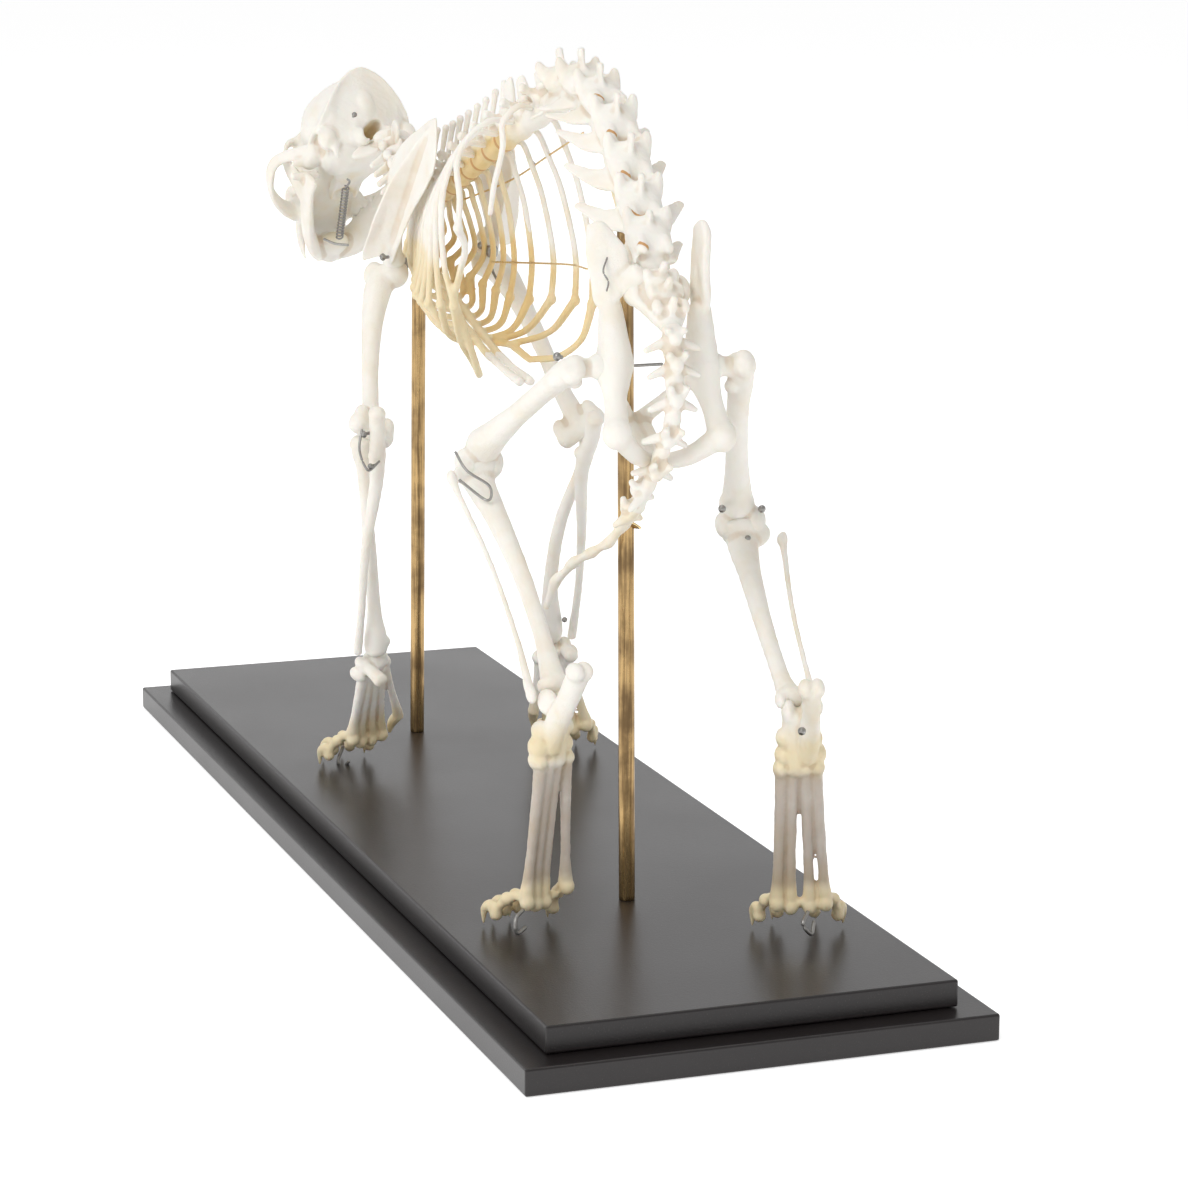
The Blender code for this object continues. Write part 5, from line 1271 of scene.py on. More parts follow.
def rib_path(number, side):
    """The bony part of one rib, from its joint with the spine to the start of its cartilage."""
    frame = spine_frame(CHEST_X[number])
    top = frame.start
    wide = (RIB_WIDTH_LEFT if side > 0 else RIB_WIDTH_RIGHT)[number]
    hung = RIB_SHARES_LEFT if side > 0 or number == 12 else RIB_SHARES_RIGHT
    low = Vector((RIB_END_X[number], top.y + RIB_END_WIDTH[number] * side, RIB_END_Z[number]))
    if number == 12 and side < 0:
        low = Vector(LAST_RIB_RIGHT)
    if number == 11 and side > 0:
        low = Vector(SHORT_RIB_LEFT)
    across = Vector((0.0, side, 0.0))
    fall = low.z - top.z
    drift = low.x - top.x
    bulge = hung[2:] if number < 12 else (0.85, 1.0)
    clear = CHEST_RADII[number] + 3.4
    return [
        frame.at(-2.5, 0.0, 0.8) + across * (CHEST_RADII[number] + 0.7),
        top + across * max(hung[0] * wide + 3.0, clear) + Vector((-3.0, 0.0, 1.0)),
        top + across * max(hung[1] * wide + 1.0, clear) + Vector((-4.5 + 0.10 * drift, 0.0, 0.12 * fall)),
        top + across * wide * bulge[0] + Vector((-4.0 + 0.32 * drift, 0.0, 0.36 * fall)),
        top + across * wide * bulge[1] + Vector((-2.5 + 0.68 * drift, 0.0, 0.72 * fall)),
        low,
    ]


def cartilage_path(number, side):
    """The cartilage of one rib, from the end of its bone to the breastbone or to the one before."""
    start = rib_path(number, side)[-1]
    across = Vector((0.0, side, 0.0))
    if number < 9:
        goal = sternum_point(STERNUM_SHARES[number]) + across * 3.0
        return [start, start.lerp(goal, 0.5) + across * 2.0 + Vector((0.0, 0.0, -2.0 - 0.3 * number)), goal]
    if number == 9:
        goal = sternum_point(0.60) + across * 5.5 + Vector((0.0, 0.0, -2.0))
        return [start, start.lerp(goal, 0.5) + across * 2.5 + Vector((0.0, 0.0, -4.0)), goal]
    if side > 0 and number == 11:
        bend = [Vector((-46.0, 32.0, 268.7)), Vector((-38.0, 31.2, 259.6))]
        return [start, *bend, rib_path(10, side)[-1] + Vector((0.0, 0.0, 3.0))]
    if side < 0 and number == 10:
        goal = Vector((2.0, 7.0 + 10.0 * side, 221.0))
        return [start, start.lerp(goal, 0.5) + across * 3.5 + Vector((0.0, 0.0, -4.0)), goal]
    goal = Vector((-16.0, 6.5 + 12.5 * side, 217.0))
    if side > 0:
        return [
            start, start.lerp(ARCH_LOW, 0.5) + Vector((0.0, 3.0, 1.0)), ARCH_LOW + Vector((3.0, 2.0, 5.0)),
            ARCH_LOW,
        ]
    return [start, Vector((-43.0, -19.5, 229.0)), Vector((-34.0, -12.5, 220.5)), goal]


def rib_cage(side):
    """One side of the rib cage: twelve ribs, their cartilages and half of the breastbone."""
    across = Vector((0.0, side, 0.0))
    halves = [sternum_point(i / 14) + across * 2.3 for i in range(15)]
    pieces = [sweep(halves, (2.1, 1.7) * 5 + (1.8, 1.7, 1.6, 1.9, 2.1))]
    for number in range(12):
        path = rib_path(number, side)
        broad = (1.5, 1.9, 1.9, 2.0, 2.0, 2.2)
        pieces.append(sweep(path, [(1.25, r) for r in broad], up=(1.0, 0.0, 0.25)))
        pieces.append(blob(path[-1], (2.3, 2.2, 2.6)))
        path = cartilage_path(number, side)
        pieces.append(sweep(path, [1.9] + [1.5] * (len(path) - 1)))
    margin = [cartilage_path(n, side)[-1] for n in (11, 10, 9)]
    pieces.append(sweep([*margin, sternum_point(0.56) + across * 3.0], (1.6, 1.6, 1.6, 1.6)))
    return pieces


def floating_rib(side):
    """The thirteenth rib, which ends free in the flank."""
    return [sweep(rib_path(12, side), [(1.2, r) for r in (1.6, 1.9, 1.9, 1.7, 1.5, 0.9)],
                  up=(1.0, 0.0, 0.25))]


# Shoulder blade, as shares along it from the shoulder and offsets to the front, and its raised ridge
# as places along it, heights and offsets to the front

for number in (0, 5, 10):
    path = rib_path(number, 1)
    print("left rib", number + 1, "is", round(sum(map(math.dist, path, path[1:])), 1), "mm long")

# %% [markdown]
# The shoulder blade is a thin plate with a thin ridge standing on its outer face. The plate is a
# slab over a smooth outline, and the ridge is a ribbon between its foot on the plate and its free
# edge.

# %% Shoulder blade
SCAPULA_OUTLINE = ((9, 4.5), (19, 12), (28, 22), (38, 26), (54, 21.5), (74, 8), (91, -5), (94, -11))
SCAPULA_OUTLINE += ((81, -22), (66, -20), (50, -14), (34, -9.6), (15, -6.5), (9, -4.5))
SCAPULA_RIDGE = (
    (13, 0, -1), (5, 6, 3), (4, 10.5, 4), (19, 12.0, 1), (38, 11.5, -1), (60, 8.5, -3), (86, 0, -7),
)


def scapula(top, shoulder, side):
    """A shoulder blade: the flat blade, its spine and the neck with the joint cup."""
    frame = Frame(shoulder, top, (1.0, 0.0, 0.0))
    away = 1.0 if frame.side.y * side > 0 else -1.0
    blade = [frame.at(along, 0, front) for along, front in SCAPULA_OUTLINE]
    ridge = [frame.at(along, high * away, front) for along, high, front in SCAPULA_RIDGE]
    shift = frame.side * (2.5 * away)
    return [
        slab([p + shift for p in blade], 2.0),
        slab([p + shift for p in ridge], 1.8),
        sweep([frame.at(7.6), frame.at(12, 1.2 * away), frame.at(22, 2.2 * away)], (5.2, 4.2, 3.0)),
        blob(frame.at(10.5, 0, 5.5), (4.0, 2.8, 3.2), frame.axes()),
    ]

print("shoulder blade, mm:", round(math.dist(SCAPULA_TOP_L, SHOULDER_L), 1))

# %% [markdown]
# The long bones are shafts that swell into rounded ends. A shaft is a sweep with a few radii, and
# the heads, rollers and knobs of the ends are eggs melted into it. The upper arm has a round head
# behind and a grooved roller below.

# %% Upper arm
def humerus(shoulder, elbow, side):
    """An upper arm bone, with its round head to the rear of the top end."""
    frame = Frame(shoulder, elbow, (1.0, 0.0, 0.6))
    length = frame.length
    out = side if frame.side.y > 0 else -side
    lower = length - 5.0
    shaft = [frame.at(3, 2 * out, 2), frame.at(12, 3 * out, 3.5), frame.at(28, 3 * out, 4)]
    shaft += [frame.at(50, 2 * out, 3), frame.at(74, 0.5 * out, 0.5), frame.at(lower, 0, 0)]
    return [
        sweep(shaft, (6.4, 6.0, 4.7, 3.8, 3.9, 5.0)),
        blob(frame.at(1.5, 0, -2.5), (6.6, 6.6, 6.6), frame.axes()),
        blob(frame.at(1.5, 4.5 * out, 5.5), (6.2, 4.2, 4.8), frame.axes()),
        sweep([frame.at(lower, -9.0 * out, 0), frame.at(lower, 8.5 * out, 0)], (4.4, 4.6)),
        blob(frame.at(lower - 3.5, -8.0 * out, -1), (6.0, 3.6, 3.8), frame.axes()),
        blob(frame.at(lower - 3.5, 7.5 * out, -1), (5.4, 3.2, 3.6), frame.axes()),
    ]


def forearm_frame(elbow, wrist):
    """The frame that radius and ulna share: along to the wrist, front forward."""
    return Frame(elbow, wrist, (1.0, 0.0, 0.0))

print("surfaces of an upper arm:", len(humerus(SHOULDER_L, ELBOW_L, 1)))

# %% [markdown]
# Two bones cross in the forearm: the radius runs in front to the inner side of the wrist, and the
# ulna hooks behind the elbow and thins down to the outer side.

# %% Forearm
def radius_bone(elbow, wrist, side, bow):
    """A radius: the front bone of the forearm, which carries the wrist."""
    frame = forearm_frame(elbow, wrist)
    out = side if frame.side.y > 0 else -side
    length = frame.length
    shaft = [frame.at(1.5, 3 * out, 3.5), frame.at(7, 3 * out, 3.5), frame.at(18, 2 * out, 3.5)]
    shaft += [frame.at(50, (-0.5 - bow) * out, 5.0), frame.at(80, (-1.5 - bow) * out, 3.0)]
    shaft += [frame.at(length - 9, -1.5 * out, 1.5), frame.at(length - 3.2, -1.5 * out, 1.2)]
    return [
        sweep(shaft, (4.6, 3.9, 2.7, 2.9, 3.2, 5.0, 5.2)),
        blob(frame.at(length - 6, -3.0 * out, 1.5), (3.4, 5.2, 4.2), frame.axes()),
        blob(frame.at(2.6, 3 * out, 3.5), (1.8, 5.2, 4.2), frame.axes()),
    ]


def ulna(elbow, wrist, side):
    """An ulna: the rear bone of the forearm, with the point of the elbow."""
    frame = forearm_frame(elbow, wrist)
    out = side if frame.side.y > 0 else -side
    length = frame.length
    shaft = [frame.at(-14, -1.0 * out, -8.5), frame.at(-4, -1.0 * out, -8.5), frame.at(6, -1.5 * out, -6.0)]
    shaft += [frame.at(20, -1.0 * out, -4.6), frame.at(50, 3.8 * out, -3.2), frame.at(80, 6.4 * out, -3.4)]
    shaft.append(frame.at(length - 4.0, 7.8 * out, -2.0))
    return [
        sweep(shaft, (3.6, 3.4, 3.6, 3.0, 2.2, 1.8, 2.1)),
        blob(frame.at(-15, -1.0 * out, -8.5), (3.4, 3.8, 4.4), frame.axes()),
        blob(frame.at(5.5, -2.0 * out, -4.2), (3.4, 4.2, 3.0), frame.axes()),
    ]


# Digits of a paw: side offset at the wrist, side offset at the knuckle, how far the knuckle is
# dropped back, and how far the toe reaches forward

print("surfaces of a forearm:", len(radius_bone(ELBOW_L, WRIST_L, 1, 0.0)) + len(ulna(ELBOW_L, WRIST_L, 1)))

# %% [markdown]
# A paw is two rows of small round bones, then long ones side by side, then toes that rise and drop
# to the claw. One table holds, for each toe, how far to the side it starts and ends, how far back
# its head lies and how far the toe reaches.

# %% Paws
FORE_DIGITS = (
    (-7.0, -15.0, 14.0, 0.0),
    (-4.4, -8.5, 0.0, 16.0),
    (-1.4, -3.0, -3.0, 20.0),
    (1.8, 3.2, -3.0, 20.0),
    (5.0, 9.0, 1.5, 15.0),
)
HIND_DIGITS_LEFT = (
    (-7.0, -9.6, 8.0, 12.0),
    (-2.0, -1.2, -2.0, 18.0),
    (1.8, 3.4, -2.0, 20.0),
    (5.4, 8.2, 1.0, 19.0),
)
HIND_DIGITS_RIGHT = (
    (-6.6, -9.2, 1.0, 13.0),
    (-2.6, -3.8, -2.0, 17.0),
    (2.4, 3.6, -2.0, 17.0),
    (6.4, 9.4, 1.0, 14.0),
)
TOE_FLOOR = BASE_TOP + GAP


def toe(knuckle, heading, reach):
    """Three toe bones and the claw: forward, then steeply down to the base."""
    low = Vector((knuckle.x, knuckle.y, TOE_FLOOR))
    rise = Vector((0.0, 0.0, 1.0))
    first = low + heading * 0.50 * reach + rise * 13.0
    second = low + heading * 0.80 * reach + rise * 6.4
    knob = low + heading * 0.92 * reach + rise * 9.0
    hook = low + heading * 1.10 * reach + rise * 6.6
    tip = low + heading * 1.13 * reach + rise * 0.5
    pieces = [sweep([knuckle, knuckle.lerp(first, 0.5) + rise, first], [2.8, 1.8, 2.3])]
    pieces.append(sweep([first, first.lerp(second, 0.5) + heading * 0.6, second], [2.4, 1.7, 2.4]))
    pieces.append(sweep([second, knob, hook, tip], [2.3, 2.2, 1.7, 0.35]))
    pieces.append(blob(first, (2.9, 2.7, 2.6)))
    pieces.append(blob(second - rise * 0.8, (2.7, 2.6, 2.5)))
    return pieces


def paw(top, knuckle, forward, digits, side, splay):
    """The long bones of a paw and their toes: the shafts lie close, with dried skin between them."""
    heading = Vector(forward).normalized()
    across = heading.cross(Vector((0.0, 0.0, -1.0))) * -1.0
    if across.y * side < 0:
        across = -across
    pieces = []
    for at_top, at_knuckle, back, reach in digits:
        root = Vector(top) + across * at_top
        end = Vector(knuckle) + across * at_knuckle - heading * back * 0.35 + Vector((0.0, 0.0, 0.5 * back))
        low = end + Vector((0, 0, -1.6))
        if reach:
            shaft = [root, root.lerp(end, 0.25), root.lerp(end, 0.75), end]
            pieces.append(sweep(shaft, [(2.6, 2.9), (2.2, 2.3), (1.95, 1.9), (2.8, 3.1)], up=heading))
            pieces.append(blob(low - heading * 0.8, (3.2, 3.0, 3.4)))
            pieces += toe(end, (heading + across * (splay * at_knuckle)).normalized(), reach)
        else:
            claw = end + heading * 6 + Vector((0.0, 0.0, -9.0))
            pieces.append(sweep([root, root.lerp(end, 0.5), end], [2.4, 1.7, 2.4]))
            pieces.append(sweep([end, end.lerp(claw, 0.5) + heading * 1.5, claw], [2.6, 2.1, 0.9]))
    for a, b in zip(digits, digits[1:]):
        if a[3] and b[3]:
            middle = Vector(knuckle) + across * (0.5 * (a[1] + b[1])) + Vector((0, 0, -1.0))
            pieces.append(blob(middle, (2.0, 2.6, 1.8)))
    return pieces


def forepaw(wrist, knuckle, forward, side):
    """A forepaw: the wrist bones, five metacarpals and their toes."""
    down = (Vector(knuckle) - Vector(wrist)).normalized()
    frame = Frame(Vector(wrist), Vector(wrist) + down, forward)
    middle = frame.at(4.6)
    out = side if frame.side.y > 0 else -side
    pieces = [blob(middle, (3.6, 8.4, 4.6), frame.axes())]
    for row, count in ((2.6, 3), (7.4, 4)):
        for i in range(count):
            place = frame.at(row, (i - 0.5 * (count - 1)) * 5.0, 1.2)
            pieces.append(blob(place, (2.9, 3.0, 4.4), frame.axes()))
    pieces.append(sweep([frame.at(3, 5 * out, -3), frame.at(1.5, 7 * out, -12)], [2.6, 3.2]))
    return pieces + paw(frame.at(7.5), knuckle, forward, FORE_DIGITS, side, 0.035)

print("toes on a fore paw and on a hind paw:", len(FORE_DIGITS), len(HIND_DIGITS_LEFT))

# %% [markdown]
# The hip bone is a broad blade above, a thick column at the joint, and a ring that closes below.
# The left blade is seen nearly flat, so its outline comes from the photograph. The right one is
# seen edge on.

# %% Hip bone
ILIUM_LEFT = (
    (-186.0, 29.6, 293.0),
    (-188.0, 24.5, 294.6),
    (-191.0, 19.3, 288.4),
    (-194.0, 16.4, 282.8),
    (-196.0, 17.3, 271.6),
    (-197.0, 21.0, 266.2),
    (-192.0, 27.8, 263.0),
    (-189.0, 29.5, 272.9),
    (-187.0, 30.6, 283.8),
)


def pelvis():
    """The hip bone: both halves joined below at the symphysis."""
    pieces = []
    for side in (-1, 1):
        hip = Vector(HIP_L if side > 0 else HIP_R)
        crest = Vector((-187.0, 24.0, 293.0)) if side > 0 else Vector((-197.0, -11.5, 291.0))
        seat = Vector((-212.0, 27.0, 219.0)) if side > 0 else Vector((-213.0, -14.0, 216.0))
        socket = hip + Vector((0.0, -6.2 * side, 0.0))
        out = Vector((0.0, side, 0.0))
        neck = socket.lerp(crest, 0.42) + out * -0.5
        blade = [
            crest + Vector((9, 1.5 * side, 1)), crest + Vector((-1, 0, 4)),
            crest + Vector((-9, -1.0 * side, 0)),
        ]
        blade += [
            crest.lerp(neck, 0.5) + Vector((-9.5, -1.5 * side, 0)), neck + Vector((-5, -1, 0)),
            neck + Vector((5, 0.5, 0)),
        ]
        blade += [crest.lerp(neck, 0.5) + Vector((9.5, 1.0 * side, 0))]
        if side > 0:
            blade = [Vector(point) for point in ILIUM_LEFT]
            pieces.append(sweep([blade[4], (-199.0, 14.0, 276.0)], [(4.0, 5.0), (3.0, 4.0)]))
        pieces.append(slab(blade, 4.0))
        column = [neck, socket + Vector((0, 0, 7)), socket, socket.lerp(seat, 0.5), seat]
        pieces.append(sweep(column, (4.4, 6.2, 7.6, 4.4, 5.0)))
        pieces.append(blob(seat, (6.0, 5.6, 6.4), None))
        front = Vector((-176.0, 7.0 + 2.6 * side, 217.5))
        rear = Vector((-202.0, 7.0 + 2.4 * side, 205.5))
        pieces.append(sweep([socket, socket.lerp(front, 0.5) + out * 1.5, front], (5.0, 3.0, 3.2)))
        pieces.append(sweep([seat, seat.lerp(rear, 0.55) + Vector((0, 0, -2.0)), rear], (4.6, 3.6, 3.0)))
        pieces.append(sweep([front, front.lerp(rear, 0.5) + Vector((1.0, 0, 0)), rear], (3.2, 3.0, 3.0)))
    return pieces

print("surfaces of the hip bone:", len(pelvis()))

# %% [markdown]
# The thigh bone has a round head on a short neck, a blunt knob outside it, and two rollers at the
# knee with the kneecap in front of them.

# %% Thigh
def femur(hip, knee, side):
    """A thigh bone: ball, neck, trochanter, shaft and the two knuckles of the knee."""
    frame = Frame(hip, knee, (0.6, 0.0, 1.0))
    out = side if frame.side.y > 0 else -side
    length = frame.length
    far = length - 6.0
    shaft = [frame.at(1, 8.5 * out, 0), frame.at(12, 8.5 * out, 0.5), frame.at(30, 6 * out, 1.5)]
    shaft += [frame.at(60, 3 * out, 2.0), frame.at(84, 1.0 * out, 2.0), frame.at(far - 6, 0, 1.5)]
    return [
        sweep(shaft, (4.8, 5.0, 4.4, 4.4, 5.6, 7.2)),
        blob(frame.at(0, -1.0 * out, 0), (5.2, 5.2, 5.2), frame.axes()),
        sweep([frame.at(0.5, 0, 0), frame.at(3.5, 9 * out, 0)], (3.4, 4.4)),
        blob(frame.at(0.5, 10.5 * out, -1.5), (6.2, 4.4, 5.4), frame.axes()),
        blob(frame.at(11, 4.5 * out, -2.5), (3.4, 2.8, 2.6), frame.axes()),
        blob(frame.at(far + 0.2, -5.8 * out, -3.6), (5.6, 4.4, 5.8), frame.axes()),
        blob(frame.at(far + 0.2, 5.8 * out, -3.6), (5.6, 4.4, 5.8), frame.axes()),
        blob(frame.at(far - 2.0, 0, 3.6), (6.6, 5.2, 4.0), frame.axes()),
    ]

print("surfaces of a thigh:", len(femur(HIP_L, KNEE_L, 1)))

# %% [markdown]
# The shin bone is three-sided and wide at the knee. The fibula beside it is a thin rod with a bulb
# at each end.

# %% Shin
def tibia(knee, hock, side):
    """A shin bone with its flat top, front crest and inner ankle."""
    frame = Frame(knee, hock, (1.0, 0.0, 0.0))
    out = side if frame.side.y > 0 else -side
    length = frame.length
    shaft = [frame.at(7.5, 0, 1), frame.at(14, -0.5 * out, 2), frame.at(30, -2 * out, 1)]
    shaft += [frame.at(60, -3.5 * out, 0), frame.at(90, -3 * out, 0), frame.at(length - 8, -1.5 * out, 0.5)]
    return [
        sweep(shaft, (7.2, 6.0, 4.6, 3.6, 3.4, 5.0)),
        blob(frame.at(8.0, 0, -1.5), (3.6, 10.6, 7.6), frame.axes()),
        blob(frame.at(12, 0, 6.5), (7.0, 3.0, 3.6), frame.axes()),
        blob(frame.at(length - 7, -1.0 * out, 0), (4.0, 6.6, 5.2), frame.axes()),
        blob(frame.at(length - 4.5, -6.5 * out, 0), (4.0, 2.0, 2.8), frame.axes()),
    ]


def fibula(knee, hock, side):
    """The thin outer bone of the shank."""
    frame = Frame(knee, hock, (1.0, 0.0, 0.0))
    out = side if frame.side.y > 0 else -side
    length = frame.length
    path = [frame.at(13, 13.0 * out, -6.0), frame.at(22, 12.2 * out, -5.4), frame.at(55, 8.6 * out, -4.0)]
    path += [frame.at(90, 7.8 * out, -2.0), frame.at(length - 5, 9.0 * out, 0)]
    return [
        sweep(path, (2.3, 1.3, 1.1, 1.2, 2.0)),
        blob(frame.at(12.5, 13.0 * out, -6.0), (2.6, 1.8, 3.0), frame.axes()),
        blob(frame.at(length - 4, 9.0 * out, 0), (4.0, 1.9, 3.2), frame.axes()),
    ]

print("surfaces of a shin:", len(tibia(KNEE_L, HOCK_L, 1)) + len(fibula(KNEE_L, HOCK_L, 1)))

# %% [markdown]
# The hind foot stands on its toes: the heel bone points up behind the hock, a block of small bones
# follows, and then four long metatarsals.

# %% Hind foot
def hindpaw(hock, heads, forward, side):
    """A hind foot: the heel bone, the hock bones, four metatarsals and their toes."""
    frame = Frame(hock, heads, forward)
    out = side if frame.side.y > 0 else -side
    pieces = []
    for shift in (-3.6, 3.6):
        pieces.append(blob(frame.at(0.8, shift, 0.6), (5.2, 2.7, 5.4), frame.axes()))
    pieces.append(blob(frame.at(3.4, 0, 0), (4.0, 5.6, 4.6), frame.axes()))
    heel = [frame.at(-14, 3.5 * out, -15), frame.at(-3, 3.8 * out, -10.5), frame.at(8, 3.6 * out, -5)]
    heel.append(frame.at(18, 2.5 * out, -1))
    pieces.append(sweep(heel, [(3.4, 4.6), (2.8, 4.4), (3.8, 4.8), (4.2, 4.6)]))
    for shift in (1.2, 5.6):
        pieces.append(blob(frame.at(-15.4, shift * out, -15.5), (3.8, 2.9, 4.4), frame.axes()))
    inner = [frame.at(2, -1.5 * out, 0), frame.at(12, -2.0 * out, 0.5), frame.at(24, -1.0 * out, 0.5)]
    pieces.append(sweep(inner, [4.6, 4.4, 4.8]))
    for along, across, size in (
        (11, -5.2, 3.4), (12, 5.6, 3.6), (18, -5.6, 3.6), (18, 6.2, 4.4), (17, 0.4, 4.0),
    ):
        pieces.append(blob(frame.at(along, across * out, 0.8), (size + 0.6, size, 4.6), frame.axes()))
    for i in range(4):
        pieces.append(blob(frame.at(23.5, (i - 1.5) * 4.6, 0.4), (3.6, 3.0, 4.6), frame.axes()))
    digits, splay = (HIND_DIGITS_LEFT, 0.02) if side > 0 else (HIND_DIGITS_RIGHT, 0.07)
    return pieces + paw(frame.at(25), heads, forward, digits, side, splay)


# Directions in which the toes point
TOES = {"fl": (20.0, 9.0, 0.0), "fr": (20.0, -6.0, 0.0), "hl": (30.0, 12.0, 0.0), "hr": (30.0, -9.0, 0.0)}

# %% [markdown]
# Now every bone has a function. This table gives each its arguments, under the name of the packed
# node that it replaces.

# %% The list of bones
BONES = {
    "skull": skull,
    "mandible": mandible,
    "cervical_vertebrae": cervical,
    "thoracic_vertebrae": thoracic,
    "lumbar_vertebrae": lumbar,
    "sacrum": sacrum,
    "tail_upper": lambda: caudal(0, 6),
    "tail_lower": lambda: caudal(6, 12),
    "rib_cage_left": lambda: rib_cage(1),
    "rib_cage_right": lambda: rib_cage(-1),
    "floating_rib_left": lambda: floating_rib(1),
    "floating_rib_right": lambda: floating_rib(-1),
    "scapula_left": lambda: scapula(SCAPULA_TOP_L, SHOULDER_L, 1),
    "scapula_right": lambda: scapula(SCAPULA_TOP_R, SHOULDER_R, -1),
    "humerus_left": lambda: humerus(SHOULDER_L, ELBOW_L, 1),
    "humerus_right": lambda: humerus(SHOULDER_R, ELBOW_R, -1),
    "radius_left": lambda: radius_bone(ELBOW_L, WRIST_L, 1, 0.0),
    "radius_right": lambda: radius_bone(ELBOW_R, WRIST_R, -1, 3.0),
    "ulna_left": lambda: ulna(ELBOW_L, WRIST_L, 1),
    "ulna_right": lambda: ulna(ELBOW_R, WRIST_R, -1),
    "forepaw_left": lambda: forepaw(WRIST_L, KNUCKLE_L, TOES["fl"], 1),
    "forepaw_right": lambda: forepaw(WRIST_R, KNUCKLE_R, TOES["fr"], -1),
    "pelvis": pelvis,
    "femur_left": lambda: femur(HIP_L, KNEE_L, 1),
    "femur_right": lambda: femur(HIP_R, KNEE_R, -1),
    "tibia_left": lambda: tibia(KNEE_L, HOCK_L, 1),
    "tibia_right": lambda: tibia(KNEE_R, HOCK_R, -1),
    "fibula_left": lambda: fibula(KNEE_L, HOCK_L, 1),
    "fibula_right": lambda: fibula(KNEE_R, HOCK_R, -1),
    "hindpaw_left": lambda: hindpaw(HOCK_L, FOOT_L, TOES["hl"], 1),
    "hindpaw_right": lambda: hindpaw(HOCK_R, FOOT_R, TOES["hr"], -1),
}

print("bones:", len(BONES))

# %% [markdown]
# Stains are rules over places in the animal: cartilage is golden low in the chest, the undersides
# of the vertebrae are greasy, paws keep dried skin between their long bones. Each rule takes the
# points of a mesh and gives a value between nought and one.

# %% Stains, and making the bones
LOIN_GAPS = loin_lines()
# Warm spots of the skull: the first two paint the amber of light glowing through thin bone in the foramen
# magnum and the rear opening of the nose, and the last two paint shade on the skull's underside.
SKULL_GLOW_AND_SHADE_SPOTS = [
    (*in_skull((9, 0.8, 0.4)), 7.5, 1.0),
    (*in_skull((48, 0, -8.0)), 7.0, 0.9),
    (*in_skull((30, 0, -8.0)), 15.0, 0.34),
    (*in_skull((60, 0, -10.0)), 24.0, 0.38),
]


def chest_warmth(points):
    """Cartilage is amber low in the chest; the inner sides of the right ribs are stained too."""
    low = np.clip((268.0 - points[:, 2]) / 14.0, 0.0, 1.0)
    sword = (points[:, 0] < -6.0) & (np.abs(points[:, 1] - 6.5) < 4.5) & (points[:, 2] < 219.5)
    value = 0.12 + 0.62 * low * np.clip(
        (75.0 + points[:, 0]) / 30.0, 0.0, 1.0,
    ) + (0.14 + 0.40 * (points[:, 0] > 2.0)) * (points[:, 1] < 2.0)
    return np.where(sword, 0.10, value)


def under_warmth(points):
    """Grease stays on the underside of the vertebrae: the value grows below the centre line."""
    heights = np.interp(-points[:, 0], -SPINE[:, 0], SPINE[:, 2])
    fore = np.clip((points[:, 0] + 55.0) / 35.0, 0.15, 1.0)
    return np.clip(0.16 + 0.22 * (heights - points[:, 2] + 5.0), 0.0, 0.95) * fore


def disc_lines():
    """Half rings under the chest vertebrae, where the dark amber discs show."""
    angles = np.linspace(-0.2, 1.1, 9) * math.pi
    lines = []
    for x, ahead, radius in zip(CHEST_X[1:11], CHEST_X[:10], CHEST_RADII):
        frame = spine_frame(0.5 * (x + ahead))
        lines.append([frame.at(0.0, 1.06 * radius * math.cos(a),
                               -1.06 * radius * math.sin(a)) for a in angles])
    return lines


def paw_warmth(points):
    """The last twenty millimetres of a paw are stained the most."""
    joints = np.exp(-(((points[:, 2] - 97.0) / 10.0) ** 2))
    return 0.26 + 0.46 * np.clip((54.0 - points[:, 2]) / 16.0, 0.0, 1.0) + 0.42 * joints


def paw_skin(points):
    """Dried skin between the metatarsals: high halfway down the foot and none at the hock or the toes."""
    return 0.78 * np.clip(
        (95.0 - points[:, 2]) / 10.0, 0.0, 1.0,
    ) * np.clip((points[:, 2] - 37.0) / 8.0, 0.0, 1.0)


OPTIONS = {
    "skull": {"voxel": 0.6, "cuts": skull_cuts(), "spots": SKULL_GLOW_AND_SHADE_SPOTS, "passes": 12},
    "mandible": {"voxel": 0.55, "base": 0.10, "spots": [(*in_skull((60, 0, -16)), 18.0, 0.5)]},
    "cervical_vertebrae": {"base": 0.22},
    "thoracic_vertebrae": {"rule": under_warmth, "base": 0.12, "glows": disc_lines()},
    "lumbar_vertebrae": {"cuts": loin_gaps(), "glows": LOIN_GAPS, "base": 0.10, "reach": 0.5},
    "sacrum": {"base": 0.15},
    "tail_upper": {"base": 0.22},
    "tail_lower": {"base": 0.35},
    "rib_cage_left": {"rule": chest_warmth, "blend": 0.25, "slot": "rib_bone"},
    "rib_cage_right": {"rule": chest_warmth, "blend": 0.25, "slot": "rib_bone"},
    "floating_rib_left": {"base": 0.15, "slot": "rib_bone"},
    "floating_rib_right": {"base": 0.55, "slot": "rib_bone"},
    "forepaw_left": {"voxel": 0.5, "blend": 0.4, "rule": paw_warmth},
    "forepaw_right": {"voxel": 0.5, "blend": 0.4, "rule": paw_warmth},
    "hindpaw_left": {"voxel": 0.5, "blend": 0.3, "rule": paw_warmth, "skin_rule": paw_skin},
    "hindpaw_right": {"voxel": 0.5, "blend": 0.3, "rule": paw_warmth, "skin_rule": paw_skin},
    "ulna_right": {"base": 0.18},
    "radius_right": {"base": 0.18},
    "tibia_right": {"base": 0.15},
    "fibula_right": {"base": 0.25},
}
for name, maker in BONES.items():
    bone(name, maker(), **OPTIONS.get(name, {}))
